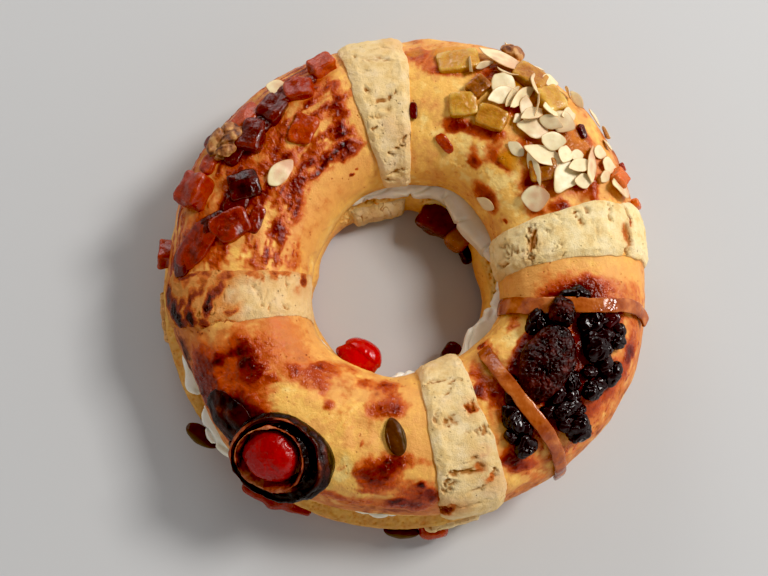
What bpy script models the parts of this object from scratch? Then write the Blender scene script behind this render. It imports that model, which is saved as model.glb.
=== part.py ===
"""A roscon de reyes: a ring of sweet bread sliced flat and filled with cream.

The lid was dressed before baking with strips of sugar paste, candied quince, candied
peel, raisins, a fig, nuts and a burnt cup of fruit that holds a cherry. The origin is
on the ground under the middle of the whole, with +Z up. Lengths are in metres, and
angles in degrees, anticlockwise from +X as seen from above.
"""

import math

import bpy
import numpy as np
from mathutils import Matrix, Vector, noise

MM = 0.001

# Driving dimensions of the three layers.
BREAD_RADIUS = 116.5 * MM
HOLE_RADIUS = 43.5 * MM
CUT_HEIGHT = 20.0 * MM
CREAM_HEIGHT = 10.0 * MM
CROWN_HEIGHT = 32.0 * MM
GAP = 0.3 * MM
BASE_CENTRE = Vector((-2.5 * MM, -2.0 * MM, 0.0))
LID_SHIFT = Vector((5.0 * MM, 4.5 * MM, 0.0))

# The base: a wall that rounds in to a flat foot.
BASE_OUTER_FOOT = 6.0 * MM
BASE_INNER_FOOT = 4.0 * MM
BASE_INNER_LIP = 4.0 * MM
BASE_BELLY = 0.5
BASE_OUTER_SWELLS = [(40, 1.5 * MM, 30), (150, 1.0 * MM, 30), (268, 1.5 * MM, 25)]
BASE_INNER_SWELLS = [(15, -2.5 * MM, 14), (80, 2.0 * MM, 9), (103, -1.0 * MM, 10),
                     (132, 1.0 * MM, 14), (168, -2.5 * MM, 10), (300, -1.0 * MM, 20)]
BASE_TURNS = 48
BASE_WALL = [0.0, 0.22, 0.5, 0.8, 1.0]

# The cream, pressed out unevenly past the bread.
CREAM_OUTER = 114.0 * MM
CREAM_INNER = 47.5 * MM
CREAM_OUTER_SWELLS = [(206, 2.0 * MM, 4), (221, 5.0 * MM, 8), (268, 1.5 * MM, 10)]
CREAM_INNER_SWELLS = [(329, -6.0 * MM, 16), (276, -6.5 * MM, 12), (40, -4.5 * MM, 14),
                      (66, 3.0 * MM, 9), (8, 1.5 * MM, 8), (218, -1.5 * MM, 14)]
CREAM_TURNS = 54
CREAM_STEPS = 8
CREAM_BULGE = 0.35

# The lid: a loaf-like arch over a flat cut face.
LID_BASE = CUT_HEIGHT + CREAM_HEIGHT
LID_OUTER = BREAD_RADIUS + 3.0 * MM
LID_INNER = HOLE_RADIUS + 3.5 * MM
LID_OUTER_SWELLS = [(62, 4.5 * MM, 34), (97, -2.0 * MM, 14), (150, 1.0 * MM, 25),
                    (176, -2.4 * MM, 20), (207, -4.0 * MM, 11), (230, 2.0 * MM, 14),
                    (268, -3.0 * MM, 22), (332, 1.2 * MM, 16), (5, -4.2 * MM, 24)]
LID_INNER_SWELLS = [(222, 6.0 * MM, 32), (262, 2.5 * MM, 14), (150, -3.0 * MM, 25),
                    (8, -3.5 * MM, 20), (62, 2.0 * MM, 16), (335, 2.0 * MM, 14)]
LID_CROWN_SWELLS = [(97, -1.5 * MM, 10), (15, -1.5 * MM, 10), (290, -1.5 * MM, 10),
                    (186, -1.0 * MM, 10), (330, 1.5 * MM, 20), (55, 1.5 * MM, 20),
                    (235, 1.0 * MM, 20)]
LID_FULLNESS = 2.0 / 2.4
LID_TURNS = 58
LID_TOP_STEPS = 13
LID_CUT_STEPS = 2
RIM_DROP = 100.0 * MM

# Sugar paste: (name, edge turns at the rim, crown and hole on both sides, ends across).
PASTE_THICKNESS = 3.0 * MM
PASTE_BITE = 1.2 * MM
PASTE_STRIPS = [
    ("paste_strip_back", (94.0, 89.5, 88.5), (106.3, 107.5, 104.5), (0.01, 0.97)),
    ("paste_strip_right", (1.5, 1.3, -7.0), (14.5, 19.3, 22.0), (0.01, 0.97)),
    ("paste_strip_front", (277.0, 276.5, 273.5), (292.0, 295.7, 301.0), (-0.03, 0.96)),
    ("paste_strip_left", (179.5, 182.5, 181.0), (192.5, 200.0, 209.0), (0.01, 0.97)),
]
# Ends of the strips left on the base: (name, turn, width, wall side, top, bottom).
PASTE_EDGES = [
    ("paste_edge_hole", 102.5, 35.0, -1, 0.04, 0.90),
    ("paste_edge_back", 100.0, 12.0, 1, 0.05, 0.75),
    ("paste_edge_right", 8.5, 12.5, 1, 0.05, 0.80),
    ("paste_edge_front", 283.0, 13.5, 1, 0.05, 0.85),
    ("paste_edge_left", 186.5, 12.5, 1, 0.05, 0.70),
]

# Toppings on the lid: (name, turn, across, heading, length, width, height, sink).
QUINCE_CUBES = [
    (160.5, 0.28, 62, 17.0, 15.0, 11.0, 2.5), (175.0, 0.04, 105, 13.0, 11.0, 9.0, 3.0),
    (112.7, 0.30, 35, 13.0, 10.0, 8.0, 2.0), (122.0, 0.37, 10, 14.0, 11.0, 7.0, 2.0),
    (130.5, 0.38, 55, 14.0, 12.0, 8.0, 2.0), (140.0, 0.40, 75, 16.0, 12.0, 9.0, 2.5),
    (127.5, 0.51, 70, 15.0, 12.0, 5.0, 1.5), (154.5, 0.48, 15, 15.0, 14.0, 8.0, 2.5),
    (168.0, 0.48, 25, 18.0, 14.0, 7.0, 2.0),
]
FRUIT_CUBES = [
    (76.5, 0.37, 8, 21.0, 12.0, 6.0, 2.0), (71.0, 0.53, 0, 14.0, 12.0, 8.0, 2.0),
    (60.5, 0.54, -20, 15.0, 11.0, 8.0, 2.0), (68.5, 0.46, 40, 11.0, 9.0, 7.0, 1.5),
    (57.5, 0.31, 150, 17.0, 12.0, 8.0, 2.0), (49.5, 0.35, 120, 15.0, 12.0, 8.0, 2.0),
    (35.0, 0.53, 15, 13.0, 11.0, 6.0, 2.0), (23.0, 0.25, 150, 9.0, 8.0, 7.0, 1.5),
]
RAISINS = [
    (348.0, 0.51, 0, 15.0, 9.0, 7.0, 1.5), (334.0, 0.64, 60, 12.0, 10.0, 7.0, 1.5),
    (341.0, 0.46, 10, 13.0, 10.0, 7.0, 1.5), (343.5, 0.39, 0, 9.0, 8.5, 7.0, 1.5),
    (334.5, 0.41, 30, 15.0, 11.0, 8.0, 1.5), (339.0, 0.34, 50, 10.0, 8.5, 7.0, 1.5),
    (330.5, 0.31, 60, 12.0, 9.5, 7.0, 1.5), (324.5, 0.34, 40, 11.0, 9.0, 7.0, 1.5),
    (322.5, 0.43, 70, 11.0, 9.0, 7.0, 1.5), (315.5, 0.38, 20, 14.0, 10.0, 7.0, 1.5),
    (315.0, 0.28, 45, 14.0, 13.0, 9.0, 2.0), (302.5, 0.47, 130, 14.0, 10.0, 7.0, 1.5),
    (301.8, 0.36, 80, 11.0, 10.0, 8.0, 1.5),
]
WALNUTS = [
    (145.5, 0.31, 50, 19.0, 15.0, 8.0, 1.5), (64.5, 0.17, 170, 11.0, 8.0, 6.0, 1.0),
]

# Fruit on the walls: (name, offset from the base's middle, heading, size).
HOLE_FRUITS = [
    ("hole_fruit_01", (20.2, 37.4, 13.0), 150, (19.0, 14.0, 16.0)),
    ("hole_fruit_02", (31.5, 28.3, 12.0), 135, (12.0, 12.0, 13.0)),
    ("hole_fruit_03", (35.5, 22.0, 8.5), 120, (9.0, 8.0, 8.0)),
    ("hole_fruit_04", (26.5, -30.0, 11.0), 45, (10.0, 8.0, 8.0)),
]

# Fruit on the walls, each (offset, tilts, size): a cherry on the hole's rim, and a block
# and a wedge on the outer wall.
HOLE_CHERRY = ((-18.5, -35.4, 26.0), -20, (20.0, 18.0, 17.0))
SIDE_BLOCK = ((17.0, -117.5, 10.0), (-15, 0, 8), (14.5, 9.0, 9.0))
SIDE_WEDGE = ((-58.5, -102.5, 14.0), (-20, 0, -27), (36.0, 12.0, 10.0))
WEDGE_TAPER = 0.55

# Pumpkin seeds: length, width and thickness, then (turn, across, heading, lift) on the
# lid and (offset from the base's middle, tilts) on the walls.
SEED_SIZE = (18.0, 9.5, 3.6)
SEED_POINT = 0.35
SEED_ON_LID = (265.5, 0.505, 100, 0.9)
SEED_AT_SIDE = ((-95.6, -73.3, 22.0), (-28, 8, -37))
SEED_IN_FRONT = ((2.0, -118.4, 10.5), (-38, 0, -6))

# The dried fig and its stem: turn, across, heading, length, width, height.
FIG = (323.5, 0.515, 62, 40.0, 26.0, 13.0)
FIG_STEM = (340.5, 0.555, 95, 13.0, 11.0, 9.0)
FIG_TAPER = 0.28
STEM_LIFT = 5.5
CUP_SPOT = (237.6, 0.305)
CUP_SIZE = (47.0 * MM, 40.0 * MM)
CUP_MOUTH = (25.0 * MM, 22.0 * MM)
CUP_MOUTH_SHIFT = -3.8 * MM
CUP_HEIGHT = 10.0 * MM
CUP_TURNS = 18
CUP_CHERRY_HEIGHT = 13.0 * MM
# Section of the cup: (part of the way from mouth to edge, part of the height).
CUP_SECTION = [(1.0, -0.2), (1.0, 0.35), (0.90, 0.72), (0.60, 1.0), (0.22, 0.92),
               (0.02, 0.45), (0.0, -0.2), (0.5, -0.2)]

PEEL_THICKNESS = 2.0 * MM
# Stations of each strip of peel: (turn, across, lift, width).
PEELS = {
    "peel_strip_upper": [
        (339.5, 1.0, 0.5, 8.4), (338.8, 0.85, 1.0, 8.4), (340.0, 0.68, 2.0, 8.2),
        (343.3, 0.55, 4.5, 7.6), (346.3, 0.45, 6.0, 7.0), (348.2, 0.35, 4.5, 6.8),
        (348.9, 0.27, 2.5, 6.6), (348.5, 0.20, 1.5, 6.6), (346.8, 0.14, 2.0, 6.6),
    ],
    "peel_strip_lower": [
        (311.5, 0.80, 0.5, 7.0), (309.3, 0.69, 1.5, 7.0), (308.4, 0.60, 3.0, 7.0),
        (308.0, 0.50, 4.5, 7.0), (308.0, 0.40, 4.5, 7.0), (307.9, 0.29, 2.5, 7.0),
        (307.0, 0.18, 1.5, 6.6), (306.6, 0.08, 1.5, 6.2), (306.4, -0.02, 2.0, 6.0),
    ],
}
PEEL_STEPS = 12

# Colour, roughness of each material.
LOOKS = {
    "crust": ((0.66, 0.30, 0.07), 0.42),
    "crumb": ((0.74, 0.45, 0.14), 0.60),
    "cream": ((0.86, 0.82, 0.70), 0.50),
    "paste": ((0.74, 0.53, 0.27), 0.80),
    "quince": ((0.42, 0.04, 0.01), 0.20),
    "candied_fruit": ((0.52, 0.27, 0.03), 0.22),
    "cherry": ((0.55, 0.01, 0.01), 0.12),
    "burnt_skin": ((0.03, 0.006, 0.004), 0.35),
    "raisin": ((0.008, 0.006, 0.006), 0.30),
    "fig": ((0.04, 0.01, 0.01), 0.35),
    "peel": ((0.42, 0.11, 0.02), 0.22),
    "seed": ((0.05, 0.03, 0.015), 0.45),
    "walnut": ((0.33, 0.16, 0.05), 0.60),
}


# Scene and collections.

def clear_scene():
    """Remove every object, so that the script always starts from nothing."""
    for item in list(bpy.data.objects):
        bpy.data.objects.remove(item, do_unlink=True)


def new_collection(name):
    """A collection linked to the scene."""
    collection = bpy.data.collections.new(name)
    bpy.context.scene.collection.children.link(collection)
    return collection


def material(look):
    """The Principled material of a look, made once."""
    if look in bpy.data.materials:
        return bpy.data.materials[look]
    colour, roughness = LOOKS[look]
    made = bpy.data.materials.new(look)
    made.use_nodes = True
    shader = made.node_tree.nodes["Principled BSDF"]
    shader.inputs["Base Color"].default_value = (*colour, 1.0)
    shader.inputs["Roughness"].default_value = roughness
    shader.inputs["Metallic"].default_value = 0.0
    return made


def adopt(name, look):
    """Name the newest object, give it its material and put it with the parts."""
    piece = bpy.context.object
    piece.name = name
    piece.data.name = name
    piece.data.materials.clear()
    piece.data.materials.append(material(look))
    for collection in list(piece.users_collection):
        collection.objects.unlink(piece)
    PARTS.objects.link(piece)
    piece.data.shade_smooth()
    return piece


def as_cutter(piece):
    """Turn an object into a hidden cutter."""
    for collection in list(piece.users_collection):
        collection.objects.unlink(piece)
    CUTTERS.objects.link(piece)
    piece.hide_render = True
    piece.display_type = "WIRE"
    return piece


# Shapes of the layers.

def power(value, exponent):
    """value to the exponent, keeping its sign: the term of a superellipse."""
    return math.copysign(abs(value) ** exponent, value)


def swell(turn, swells):
    """Sum of smooth bumps round the ring, each amount * exp(-(distance / width)^2)."""
    total = 0.0
    for centre, amount, width in swells:
        distance = (turn - centre + 180.0) % 360.0 - 180.0
        total += amount * math.exp(-(distance / width) ** 2)
    return total


def around(centre, turn, radius, height):
    """Point at a turn and radius about a vertical axis."""
    angle = math.radians(turn)
    return centre + Vector((radius * math.cos(angle), radius * math.sin(angle), height))


def lid_point(turn, across, lift=0.0):
    """Point of the lid's skin. across is 0 at the rim, 0.5 on the crown, 1 at the hole.

    The section is half a superellipse. Past the rim, below 0, it hangs straight down.
    """
    outer = LID_OUTER + swell(turn, LID_OUTER_SWELLS) + lift
    inner = LID_INNER + swell(turn, LID_INNER_SWELLS) - lift
    crown = CROWN_HEIGHT + swell(turn, LID_CROWN_SWELLS) + lift
    sweep = math.pi * max(across, 0.0)
    reach = power(math.cos(sweep), LID_FULLNESS)
    radius = 0.5 * (outer + inner) + 0.5 * (outer - inner) * reach
    height = LID_BASE + crown * power(math.sin(sweep), LID_FULLNESS)
    height += RIM_DROP * min(across, 0.0)
    return around(LID_CENTRE, turn, radius, height)


def lid_section(turn, step, grow):
    """The lid's section: the arch from rim to hole, then the flat cut face back."""
    if step <= LID_TOP_STEPS:
        point = lid_point(turn, step / LID_TOP_STEPS, grow)
        if step in (0, LID_TOP_STEPS):
            point.z = LID_BASE - grow
        return point
    part = (step - LID_TOP_STEPS) / (LID_CUT_STEPS + 1)
    point = lid_point(turn, 1.0, grow).lerp(lid_point(turn, 0.0, grow), part)
    point.z = LID_BASE - grow
    return point


def base_wall(turn, down, side, lift=0.0):
    """Point of the base's wall. side is 1 outside and -1 in the hole.

    down is 0 at the cut and 1 at the foot, where the wall has rounded in. In the hole the
    wall bellies out half way down.
    """
    height = CUT_HEIGHT * (1.0 - down)
    if side > 0:
        radius = BREAD_RADIUS + swell(turn, BASE_OUTER_SWELLS) + lift
        return around(BASE_CENTRE, turn, radius - BASE_OUTER_FOOT * down ** 3, height)
    radius = HOLE_RADIUS + swell(turn, BASE_INNER_SWELLS) - lift
    lip = max(1.0 - down / BASE_BELLY, 0.0)
    foot = max(down / BASE_BELLY - 1.0, 0.0)
    radius += BASE_INNER_LIP * lip ** 2 + BASE_INNER_FOOT * foot ** 3
    return around(BASE_CENTRE, turn, radius, height)


def base_section(turn, step, grow):
    """The base's section: the flat cut, the hole's wall, the flat foot, the outer wall."""
    wall = len(BASE_WALL)
    if step < wall:
        point = base_wall(turn, BASE_WALL[step], -1, grow)
    elif step == wall:
        inner = base_wall(turn, 1.0, -1, grow)
        point = inner.lerp(base_wall(turn, 1.0, 1, grow), 0.5)
    elif step <= 2 * wall:
        point = base_wall(turn, BASE_WALL[2 * wall - step], 1, grow)
    else:
        outer = base_wall(turn, 0.0, 1, grow)
        point = outer.lerp(base_wall(turn, 0.0, -1, grow), 0.5)
    if point.z > CUT_HEIGHT - GAP:
        point.z = CUT_HEIGHT + grow
    if point.z < GAP:
        point.z = -grow
    return point


def cream_section(turn, step, grow):
    """The cream's section: a superellipse between the two cut faces."""
    sweep = 2.0 * math.pi * (step + 0.5) / CREAM_STEPS
    outer = CREAM_OUTER + swell(turn, CREAM_OUTER_SWELLS) + grow
    inner = CREAM_INNER + swell(turn, CREAM_INNER_SWELLS) - grow
    tall = 0.5 * CREAM_HEIGHT - GAP + grow
    reach = power(math.cos(sweep), CREAM_BULGE)
    radius = 0.5 * (outer + inner) + 0.5 * (outer - inner) * reach
    edge = power(math.sin(sweep), 0.5 * CREAM_BULGE) / power(SHOULDER, 0.5 * CREAM_BULGE)
    height = CUT_HEIGHT + 0.5 * CREAM_HEIGHT + tall * max(-1.0, min(1.0, edge))
    return around(BASE_CENTRE, turn, radius, height)


def ring(name, look, turns, steps, section, grow=0.0):
    """A torus whose every vertex is placed by section(turn, step, grow)."""
    bpy.ops.mesh.primitive_torus_add(major_segments=turns, minor_segments=steps,
                                     major_radius=BREAD_RADIUS, minor_radius=CUT_HEIGHT)
    piece = adopt(name, look)
    for index, vertex in enumerate(piece.data.vertices):
        turn = 360.0 * (index // steps) / turns
        vertex.co = section(turn, index % steps, grow)
    return piece


def layer(name, look, turns, steps, section):
    """A layer of the cake and the cutter that keeps other pieces a gap away from it."""
    ring(name, look, turns, steps, section)
    skin = as_cutter(ring(name + "_clearance", look, turns, steps, section, GAP))
    LAID.append((*world_box(skin.data, skin.matrix_world), skin))


# Laying pieces on the lid.

def subtract(piece, cutter):
    """Cut one object away from another."""
    cut = piece.modifiers.new(cutter.name, "BOOLEAN")
    cut.operation = "DIFFERENCE"
    cut.solver = "EXACT"
    cut.object = cutter


def world_box(mesh, matrix):
    """Lowest and highest corners of a mesh in the world, a gap larger all round."""
    corners = np.array([matrix @ vertex.co for vertex in mesh.vertices])
    return corners.min(axis=0) - GAP, corners.max(axis=0) + GAP


def settle(piece):
    """Cut a piece so that it sits on the bread and against the pieces already laid."""
    piece.data.update()
    bpy.context.view_layer.update()
    shaped = piece.evaluated_get(bpy.context.evaluated_depsgraph_get())
    mesh = bpy.data.meshes.new_from_object(shaped)
    skin = as_cutter(bpy.data.objects.new(piece.name + "_clearance", mesh))
    skin.matrix_world = piece.matrix_world
    grow = skin.modifiers.new("grow", "DISPLACE")
    grow.strength = GAP
    grow.mid_level = 0.0
    low, high = world_box(mesh, piece.matrix_world)
    for other_low, other_high, other_skin in LAID:
        if np.all(low < other_high) and np.all(high > other_low):
            subtract(piece, other_skin)
    LAID.append((low, high, skin))
    return piece


def lid_basis(turn, across):
    """Directions along the ring, inward over the skin, and out of it."""
    tiny = 0.01
    across = max(across, 0.0)
    along = (lid_point(turn + tiny, across) - lid_point(turn - tiny, across)).normalized()
    near = max(across - tiny, 0.0)
    inward = (lid_point(turn, across + tiny) - lid_point(turn, near)).normalized()
    out = along.cross(inward).normalized()
    return along, out.cross(along), out


def place_on_lid(piece, turn, across, heading, lift):
    """Stand an object on the lid with its X axis towards a heading seen from above."""
    along, inward, out = lid_basis(turn, across)
    aim = math.radians(heading - turn - 90.0)
    forward = along * math.cos(aim) + inward * math.sin(aim)
    side = out.cross(forward)
    turned = Matrix((forward, side, out)).transposed()
    piece.location = lid_point(turn, across) + out * lift
    piece.rotation_euler = turned.to_euler()
    return piece


def drape(piece, turn, across, heading):
    """Wrap a flat-lying mesh over the lid: x and y run over the skin, z is the lift."""
    aim = math.radians(heading - turn - 90.0)
    radius = (lid_point(turn, across) - LID_CENTRE).xy.length
    samples = np.linspace(-0.2, 1.0, 61)
    for vertex in piece.data.vertices:
        x, y, z = vertex.co
        along = x * math.cos(aim) - y * math.sin(aim)
        inward = x * math.sin(aim) + y * math.cos(aim)
        here = turn + math.degrees(along / radius)
        skin = np.array([lid_point(here, sample) for sample in samples])
        steps = np.linalg.norm(np.diff(skin, axis=0), axis=1)
        walked = np.concatenate(([0.0], np.cumsum(steps)))
        start = np.interp(across, samples, walked)
        spot = np.interp(start + inward, walked, samples)
        vertex.co = lid_point(here, float(spot), z)
    return piece


def roughen(piece, amount, scale, seed):
    """Move each vertex along its normal by smooth noise."""
    offset = Vector((seed, 2.7 * seed, 5.1 * seed))
    normals = [vertex.normal.copy() for vertex in piece.data.vertices]
    for vertex, normal in zip(piece.data.vertices, normals):
        vertex.co += normal * amount * noise.noise(vertex.co * scale + offset)
    return piece


def ellipsoid(name, look, size, segments=8, rings=6):
    """A UV sphere stretched to a size in metres."""
    bpy.ops.mesh.primitive_uv_sphere_add(segments=segments, ring_count=rings, radius=0.5)
    piece = adopt(name, look)
    piece.data.transform(Matrix.Diagonal((*size, 1.0)))
    return piece


def block(name, look, size, seed):
    """A cut cube of fruit: uneven corners and softened edges."""
    bpy.ops.mesh.primitive_cube_add(size=1.0)
    piece = adopt(name, look)
    piece.data.transform(Matrix.Diagonal((*size, 1.0)))
    roughen(piece, 2.5 * MM, 90.0, seed)
    bevel = piece.modifiers.new("soft_edges", "BEVEL")
    bevel.width = 0.16 * min(size)
    bevel.segments = 1
    return piece


# The pieces.

def make_layers():
    """Lid, cream and base."""
    base_steps = 2 * len(BASE_WALL) + 2
    lid_steps = LID_TOP_STEPS + LID_CUT_STEPS + 1
    layer("bread_lid", "crust", LID_TURNS, lid_steps, lid_section)
    layer("cream_filling", "cream", CREAM_TURNS, CREAM_STEPS, cream_section)
    layer("bread_base", "crumb", BASE_TURNS, base_steps, base_section)


def through_three(values, part):
    """Smooth curve through values at 0, 0.5 and 1."""
    first, middle, last = values
    outer = first * (1.0 - part) * (1.0 - 2.0 * part) + last * part * (2.0 * part - 1.0)
    return outer + 4.0 * middle * part * (1.0 - part)


def make_paste_strips():
    """Four slabs of sugar paste laid over the lid, thinner towards their long edges."""
    for seed, (name, low, high, ends) in enumerate(PASTE_STRIPS):
        bpy.ops.mesh.primitive_grid_add(x_subdivisions=3, y_subdivisions=9, size=1.0)
        strip = adopt(name, "paste")
        for vertex in strip.data.vertices:
            side, run = vertex.co.x + 0.5, vertex.co.y + 0.5
            across = ends[0] + (ends[1] - ends[0]) * run
            part = max(across, 0.0)
            edges = through_three(low, part), through_three(high, part)
            turn = edges[0] + (edges[1] - edges[0]) * side
            wobble = noise.noise(Vector((9.0 * side, 14.0 * run, 7.3 * seed)))
            full = 1.0 - (2.0 * side - 1.0) ** 4
            lift = PASTE_THICKNESS * (0.55 + 0.45 * full) + 1.0 * MM * wobble
            vertex.co = lid_point(turn, across, lift)
        strip.data.update()
        wall = strip.modifiers.new("thickness", "SOLIDIFY")
        wall.thickness = PASTE_THICKNESS + PASTE_BITE
        wall.offset = -1.0
        settle(strip)


def make_paste_edges():
    """The ends of the same strips that stayed on the base when it was sliced."""
    for seed, (name, centre, width, side, top, bottom) in enumerate(PASTE_EDGES):
        bpy.ops.mesh.primitive_grid_add(x_subdivisions=3, y_subdivisions=2, size=1.0)
        edge = adopt(name, "paste")
        for vertex in edge.data.vertices:
            turn = centre - side * width * vertex.co.x
            down = bottom + (top - bottom) * (vertex.co.y + 0.5)
            wobble = noise.noise(Vector((turn, 6.0 * down, 3.1 * seed)))
            lift = 0.85 * PASTE_THICKNESS + 1.0 * MM * wobble
            vertex.co = base_wall(turn, down, side, lift)
        edge.data.update()
        wall = edge.modifiers.new("thickness", "SOLIDIFY")
        wall.thickness = PASTE_THICKNESS + PASTE_BITE
        wall.offset = 1.0
        settle(edge)


def peel_station(stations, part):
    """Turn, across, lift and width at a part of the strip's length."""
    marks = np.linspace(0.0, 1.0, len(stations))
    columns = np.array(stations).T
    turn, across, lift, width = (float(np.interp(part, marks, column)) for column in columns)
    return turn, across, lift * MM, width * MM


def make_peels():
    """Two strips of candied peel laid across the lid, over the raisins."""
    for name, stations in PEELS.items():
        bpy.ops.mesh.primitive_grid_add(x_subdivisions=PEEL_STEPS, y_subdivisions=1, size=1.0)
        strip = adopt(name, "peel")
        for vertex in strip.data.vertices:
            part = vertex.co.x + 0.5
            turn, across, lift, width = peel_station(stations, part)
            before = lid_point(*peel_station(stations, max(part - 0.03, 0.0))[:3])
            after = lid_point(*peel_station(stations, min(part + 0.03, 1.0))[:3])
            out = lid_basis(turn, across)[2]
            side = out.cross(after - before).normalized()
            middle = lid_point(turn, across, lift)
            vertex.co = middle + side * (2.0 * vertex.co.y) * 0.5 * width
        strip.data.update()
        wall = strip.modifiers.new("thickness", "SOLIDIFY")
        wall.thickness = PEEL_THICKNESS
        wall.offset = 0.0
        settle(strip)


def cup_section(turn, step, grow):
    """Section of the burnt cup, from its outer edge over the lip and down to its mouth."""
    part, rise = CUP_SECTION[step]
    angle = math.radians(turn)
    spread = Vector((math.cos(angle), math.sin(angle), 0.0))
    mouth = Vector((0.5 * CUP_MOUTH[0] * spread.x, 0.5 * CUP_MOUTH[1] * spread.y, 0.0))
    mouth.x += CUP_MOUTH_SHIFT
    edge = Vector((0.5 * CUP_SIZE[0] * spread.x, 0.5 * CUP_SIZE[1] * spread.y, 0.0))
    ripple = 1.0 + 0.05 * math.sin(3.0 * angle + 0.6)
    point = mouth.lerp(edge * ripple, part)
    point.z = CUP_HEIGHT * rise
    return point


def make_cup():
    """A burnt cup of candied fruit draped on the lid's slope, with a cherry in it."""
    steps = len(CUP_SECTION)
    cup = ring("candied_cup", "burnt_skin", CUP_TURNS, steps, cup_section)
    drape(cup, *CUP_SPOT, CUP_SPOT[0] + 90.0)
    settle(cup)
    size = (CUP_MOUTH[0] + 1.0 * MM, CUP_MOUTH[1] + 1.0 * MM, CUP_CHERRY_HEIGHT)
    cherry = ellipsoid("cherry_in_cup", "cherry", size, 12, 6)
    lift = 0.35 * CUP_CHERRY_HEIGHT
    cherry.data.transform(Matrix.Translation((CUP_MOUTH_SHIFT, 0.0, lift)))
    drape(cherry, *CUP_SPOT, CUP_SPOT[0] + 90.0)
    settle(cherry)


def make_cubes():
    """Quince and other candied fruit, cut in blocks and pressed into the lid."""
    families = (("quince_cube", "quince", QUINCE_CUBES),
                ("fruit_cube", "candied_fruit", FRUIT_CUBES))
    for family, look, rows in families:
        for number, row in enumerate(rows, start=1):
            turn, across, heading, length, width, height, sink = row
            size = (length * MM, width * MM, height * MM)
            piece = block(f"{family}_{number:02d}", look, size, 3.1 * number)
            place_on_lid(piece, turn, across, heading, (0.5 * height - sink) * MM)
            settle(piece)


def make_raisins():
    """Wrinkled raisins pressed into the lid."""
    for number, row in enumerate(RAISINS, start=1):
        turn, across, heading, length, width, height, sink = row
        size = (length * MM, width * MM, height * MM)
        piece = ellipsoid(f"raisin_{number:02d}", "raisin", size, 6, 5)
        roughen(piece, 1.4 * MM, 200.0, number)
        place_on_lid(piece, turn, across, heading, (0.5 * height - sink) * MM)
        settle(piece)


def make_walnuts():
    """Half a walnut and a broken piece, lobed on either side of a furrow."""
    for number, row in enumerate(WALNUTS, start=1):
        turn, across, heading, length, width, height, sink = row
        size = (length * MM, width * MM, height * MM)
        piece = ellipsoid(f"walnut_{number:02d}", "walnut", size, 9, 5)
        for vertex in piece.data.vertices:
            furrow = math.exp(-(vertex.co.y / (0.12 * width * MM)) ** 2)
            vertex.co.z -= 0.25 * height * MM * furrow * (vertex.co.z > 0.0)
        roughen(piece, 1.6 * MM, 330.0, 20 + number)
        place_on_lid(piece, turn, across, heading, (0.5 * height - sink) * MM)
        settle(piece)


def make_fig():
    """A dried fig lying flat, with its stem end drawn up against the peel."""
    turn, across, heading, length, width, height = FIG
    fig = ellipsoid("dried_fig", "fig", (length * MM, width * MM, height * MM), 12, 6)
    for vertex in fig.data.vertices:
        along = vertex.co.x / (0.5 * length * MM)
        vertex.co.y *= 1.0 - FIG_TAPER * max(along, 0.0) ** 2
        vertex.co.z += 0.25 * height * MM
    roughen(fig, 2.2 * MM, 150.0, 4.0)
    drape(fig, turn, across, heading)
    settle(fig)
    turn, across, heading, length, width, height = FIG_STEM
    stem = ellipsoid("fig_stem", "fig", (length * MM, width * MM, height * MM), 8, 6)
    roughen(stem, 1.5 * MM, 200.0, 6.0)
    place_on_lid(stem, turn, across, heading, STEM_LIFT * MM)
    settle(stem)


def pumpkin_seed(name):
    """A flat seed: an ellipsoid drawn to a point at one end."""
    seed = ellipsoid(name, "seed", Vector(SEED_SIZE) * MM, 8, 5)
    for vertex in seed.data.vertices:
        along = vertex.co.x / (0.5 * SEED_SIZE[0] * MM)
        vertex.co.y *= 1.0 - SEED_POINT * max(along, 0.0) ** 1.5
    return seed


def place_by_base(piece, offset, tilts):
    """Put an object at an offset from the base's middle, turned by three tilts."""
    piece.location = BASE_CENTRE + Vector(offset) * MM
    piece.rotation_euler = [math.radians(tilt) for tilt in tilts]
    return settle(piece)


def make_seeds():
    """Three pumpkin seeds: one on the crown, two on the outer wall."""
    turn, across, heading, lift = SEED_ON_LID
    settle(place_on_lid(pumpkin_seed("pumpkin_seed_top"), turn, across, heading, lift * MM))
    place_by_base(pumpkin_seed("pumpkin_seed_side"), *SEED_AT_SIDE)
    place_by_base(pumpkin_seed("pumpkin_seed_front"), *SEED_IN_FRONT)


def make_wall_fruit():
    """Fruit on the walls of the base, round the outside and in the hole."""
    for number, (name, offset, heading, size) in enumerate(HOLE_FRUITS):
        fruit = ellipsoid(name, "quince", Vector(size) * MM, 8, 5)
        roughen(fruit, 0.14 * min(size) * MM, 140.0, 31 + number)
        place_by_base(fruit, offset, (0, 0, heading))
    offset, tilts, size = SIDE_BLOCK
    side_block = block("candied_side_front", "candied_fruit", Vector(size) * MM, 8.8)
    place_by_base(side_block, offset, tilts)
    offset, tilts, size = SIDE_WEDGE
    wedge = block("candied_side_left", "quince", Vector(size) * MM, 5.2)
    for vertex in wedge.data.vertices:
        if vertex.co.x > 0.0:
            vertex.co.y *= WEDGE_TAPER
            vertex.co.z *= WEDGE_TAPER
    place_by_base(wedge, offset, tilts)
    offset, heading, size = HOLE_CHERRY
    cherry = ellipsoid("cherry_at_hole", "cherry", Vector(size) * MM, 12, 7)
    place_by_base(cherry, offset, (0, 0, heading))


clear_scene()
PARTS = new_collection("roscon_de_reyes")
CUTTERS = new_collection("cutters")
LID_CENTRE = BASE_CENTRE + LID_SHIFT
SHOULDER = math.sin(math.pi / CREAM_STEPS)
LAID = []

make_layers()
make_paste_strips()
make_paste_edges()
make_peels()
make_cup()
make_fig()
make_cubes()
make_walnuts()
make_raisins()
make_seeds()
make_wall_fruit()
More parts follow.
